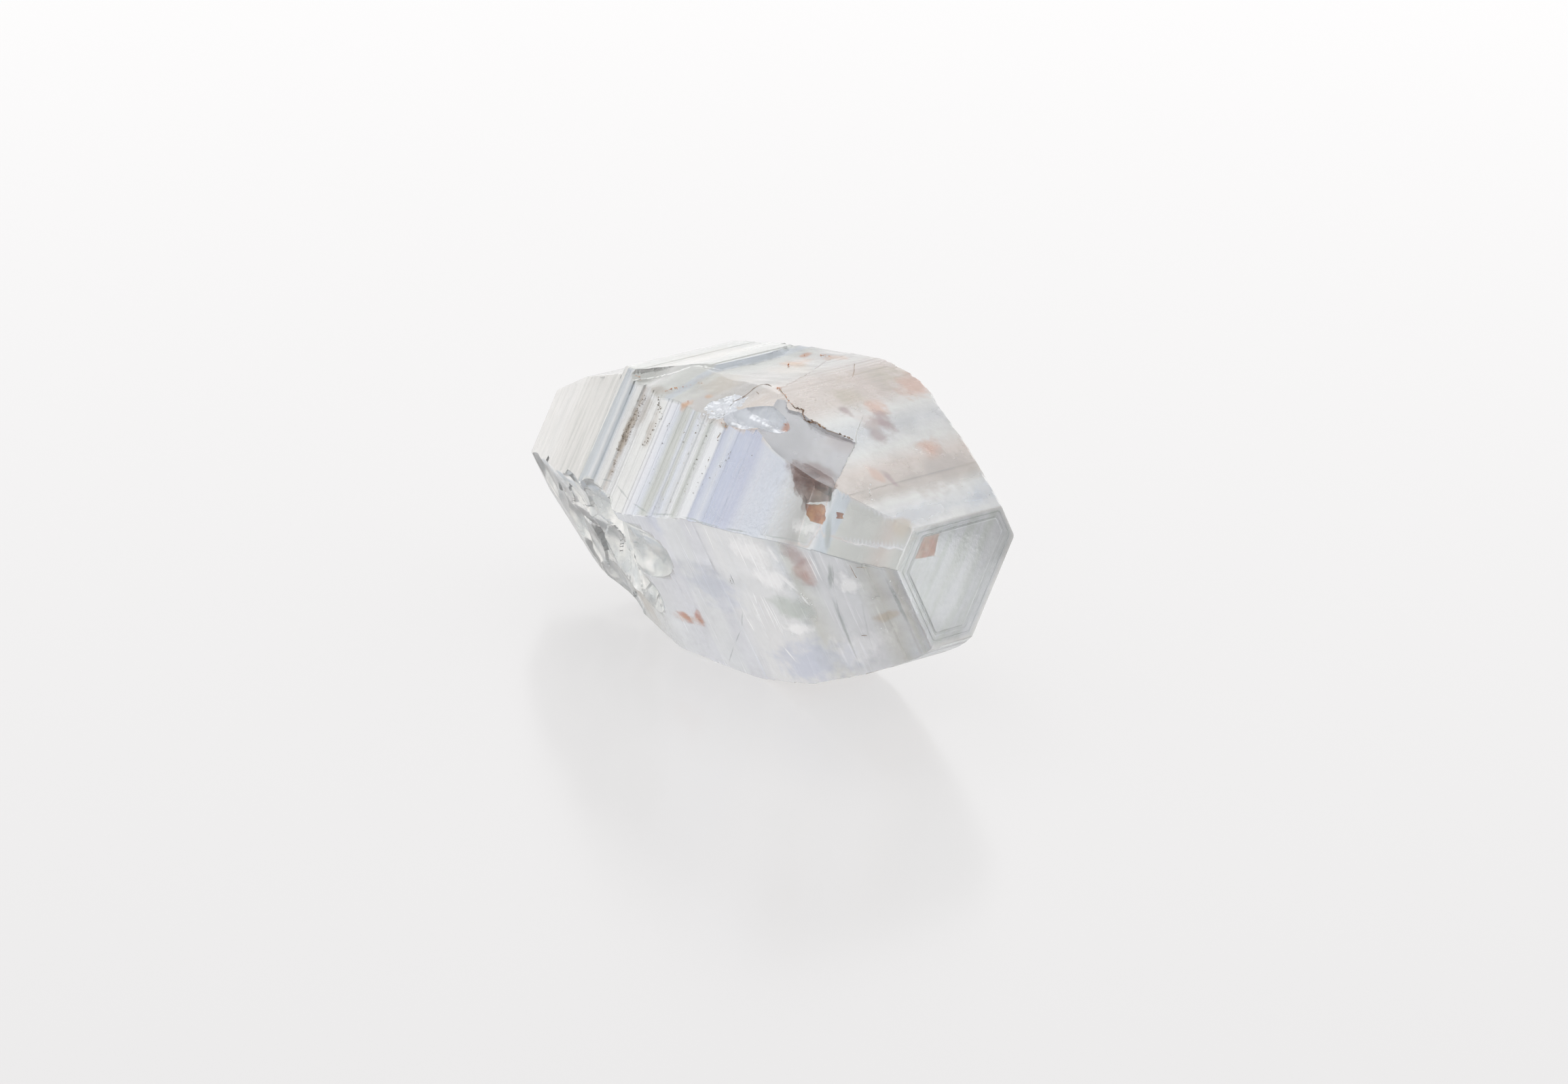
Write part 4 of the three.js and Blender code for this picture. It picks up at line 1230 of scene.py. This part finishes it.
OUTLINE_STEP, FRAY, RHOMB_FRAY = 0.07, 0.018, 0.012         # of the films' edges, in millimetres


def film_under(name, outline, depth, thickness, finish, seed):
    """A film that follows the surface, from its outline on the unrolled crystal."""
    outline = [(x, degrees / DEGREES_PER_MM) for x, degrees in outline]
    points = frayed(outline, OUTLINE_STEP, FRAY, seed)
    near, far = ([Vector(under_surface(x, round_by * DEGREES_PER_MM, deep)) for x, round_by in points]
                 for deep in (depth, depth + thickness))
    film(name, near, far, finish)


VEIL_DARK, VEIL_LIGHT, VEIL_FADE = (124, 90, 78), (186, 152, 136), (((2.35, -9.5), (1.3, 17)),)
PLUM_DARK, PLUM_LIGHT, PLUM_FADE = (230, 178, 164), (246, 216, 208), (((2.27, 33), (0.5, 16)),)
veil_material = mineral_material("iron veil", VEIL_DARK, VEIL_LIGHT, 3.2, 0.4, 0.1, VEIL_FADE)
amber_material = mineral_material("amber grains", (188, 92, 34), (240, 164, 98), 5.0, 0.3, 0.1)
pale_amber = mineral_material("pale amber", (222, 124, 78), (248, 200, 170), 3.5, 0.4, 0.1)
plum_material = mineral_material("plum cloud", PLUM_DARK, PLUM_LIGHT, 2.5, 0.5, 0.25, PLUM_FADE)

VEIL = (
    (1.36, -13.4), (1.71, -14.8), (2.28, -14.6), (2.6, -11.5), (2.63, -4), (2.5, -2.4), (2.14, 1),
    (1.84, -3), (1.6, -8),
)
AMBER_BLOCK = ((2.25, 1.7), (2.57, -0.9), (2.69, 5.4), (2.66, 8), (2.5, 7.6), (2.35, 5.6))

# Each film's outline is [place along, degrees round]. Then come its depth under the surface and its
# thickness in millimetres, its finish, and the seed of its frayed edge.
for name, outline, depth, thickness, finish, seed in (
    ("iron_veil", VEIL, 0.16, 0.03, veil_material, 61),
    ("iron_patch_1", ((1.5, -13), (2.15, -13), (2.2, -10), (1.9, -9), (1.55, -10)), 0.08, 0.03,
     veil_material, 62),
    ("iron_patch_2", ((1.8, -4), (2.0, -3), (2.0, 0), (1.85, -1)), 0.08, 0.03, veil_material, 63),
    ("iron_patch_3", ((2.2, -9), (2.62, -10), (2.6, -6), (2.3, -6)), 0.08, 0.03, veil_material, 64),
    ("tan_strip", ((2.08, -2), (2.2, -1), (2.32, 7), (2.16, 5)), 0.12, 0.04, veil_material, 66),
    ("amber_block", AMBER_BLOCK, 0.06, 0.16, amber_material, 67),
    ("amber_grain", ((2.9, -0.6), (3.0, -1.2), (3.04, 1.6), (2.95, 2.4)), 0.05, 0.06, amber_material, 68),
    ("plum_cloud", ((2.07, 20), (2.57, 20), (2.43, 41), (2.09, 41), (1.95, 31)), 0.2, 0.05,
     plum_material, 70),
    ("amber_crescent_1", ((-3.0, 79), (-2.62, 79), (-2.55, 84), (-2.75, 84), (-2.85, 81)), 0.06, 0.05,
     pale_amber, 73),
    ("amber_crescent_2", ((-2.32, 78), (-2.1, 74), (-2.04, 79), (-2.16, 84)), 0.06, 0.05, pale_amber, 74),
):
    film_under(name, outline, depth, thickness, finish, seed)

# The amber rhomb lies under the basal end, where its outline is [across, upwards].
RHOMB = ((-0.76, 0.80), (-0.26, 0.78), (-0.40, 0.24), (-1.08, 0.30))
RHOMB_NEAR, RHOMB_FAR = 0.09, 0.12
points = frayed(RHOMB, OUTLINE_STEP, RHOMB_FRAY, 75)
near, far = ([Vector((BASAL_END - deep, u, w)) for u, w in points] for deep in (RHOMB_NEAR, RHOMB_FAR))
film("amber_rhomb", near, far, pale_amber)


# ---- Studio ----------------------------------------------------------------------------------
# A smooth pale surface, soft white light from all round that is weaker on the lens's side, and a
# large soft lamp above.

TABLE_SIZE = 4.0
TABLE_COLOUR, TABLE_GLOW = (0.93, 0.92, 0.92, 1), 0.66
TABLE_GREY = (0.12, 0.118, 0.118, 1)         # how much of the other light it gives back
table_finish = bpy.data.materials.new("pale table")
table_finish.use_nodes = True
table_shader = table_finish.node_tree.nodes["Principled BSDF"]
for name, value in (("Base Color", TABLE_GREY), ("Roughness", 0.2), ("IOR", 1.3),
                    ("Emission Color", TABLE_COLOUR), ("Emission Strength", TABLE_GLOW)):
    table_shader.inputs[name].default_value = value
bpy.ops.mesh.primitive_plane_add(size=TABLE_SIZE, location=(0, 0, low.z))
table_top = bpy.context.object
table_top.name = "table_top"
table_top.data.materials.append(table_finish)

BRIGHT, TOP_LIGHT, DIM = 1.55, 1.15, 0.7     # the light from round it, from above, and from the lens
world = bpy.data.worlds.new("studio")
world.use_nodes = True
bpy.context.scene.world = world
tree = Tree(world.node_tree)
direction = tree.add("ShaderNodeTexCoord").out("Generated")
facing_lens = tree.add("ShaderNodeVectorMath", {"operation": "DOT_PRODUCT"},
                       {0: direction, 1: towards_lens}, output=1)
height = tree.add("ShaderNodeSeparateXYZ", values={0: direction}).out("Z")
dimmed = ramp_up(tree, facing_lens, 0.35, 0.9, BRIGHT - DIM).math(
    "MAXIMUM", ramp_up(tree, height, 0.15, 0.75, BRIGHT - TOP_LIGHT))
background = world.node_tree.nodes["Background"].inputs
world.node_tree.links.new((BRIGHT - dimmed).socket, background["Strength"])
background["Color"].default_value = (1, 1, 1, 1)

LAMP_PLACE, LAMP_SIZE, LAMP_POWER = Vector((-0.16, 0.06, 0.24)), 0.12, 0.12
lamp = bpy.data.lights.new("soft lamp", "AREA")
lamp.shape = "DISK"
lamp.size = LAMP_SIZE
lamp.energy = LAMP_POWER
soft_lamp = bpy.data.objects.new("soft lamp", lamp)
soft_lamp.location = LAMP_PLACE
soft_lamp.rotation_euler = (-LAMP_PLACE).to_track_quat("-Z", "Y").to_euler()
bpy.context.collection.objects.link(soft_lamp)
bpy.context.scene.view_settings.view_transform = "Standard"
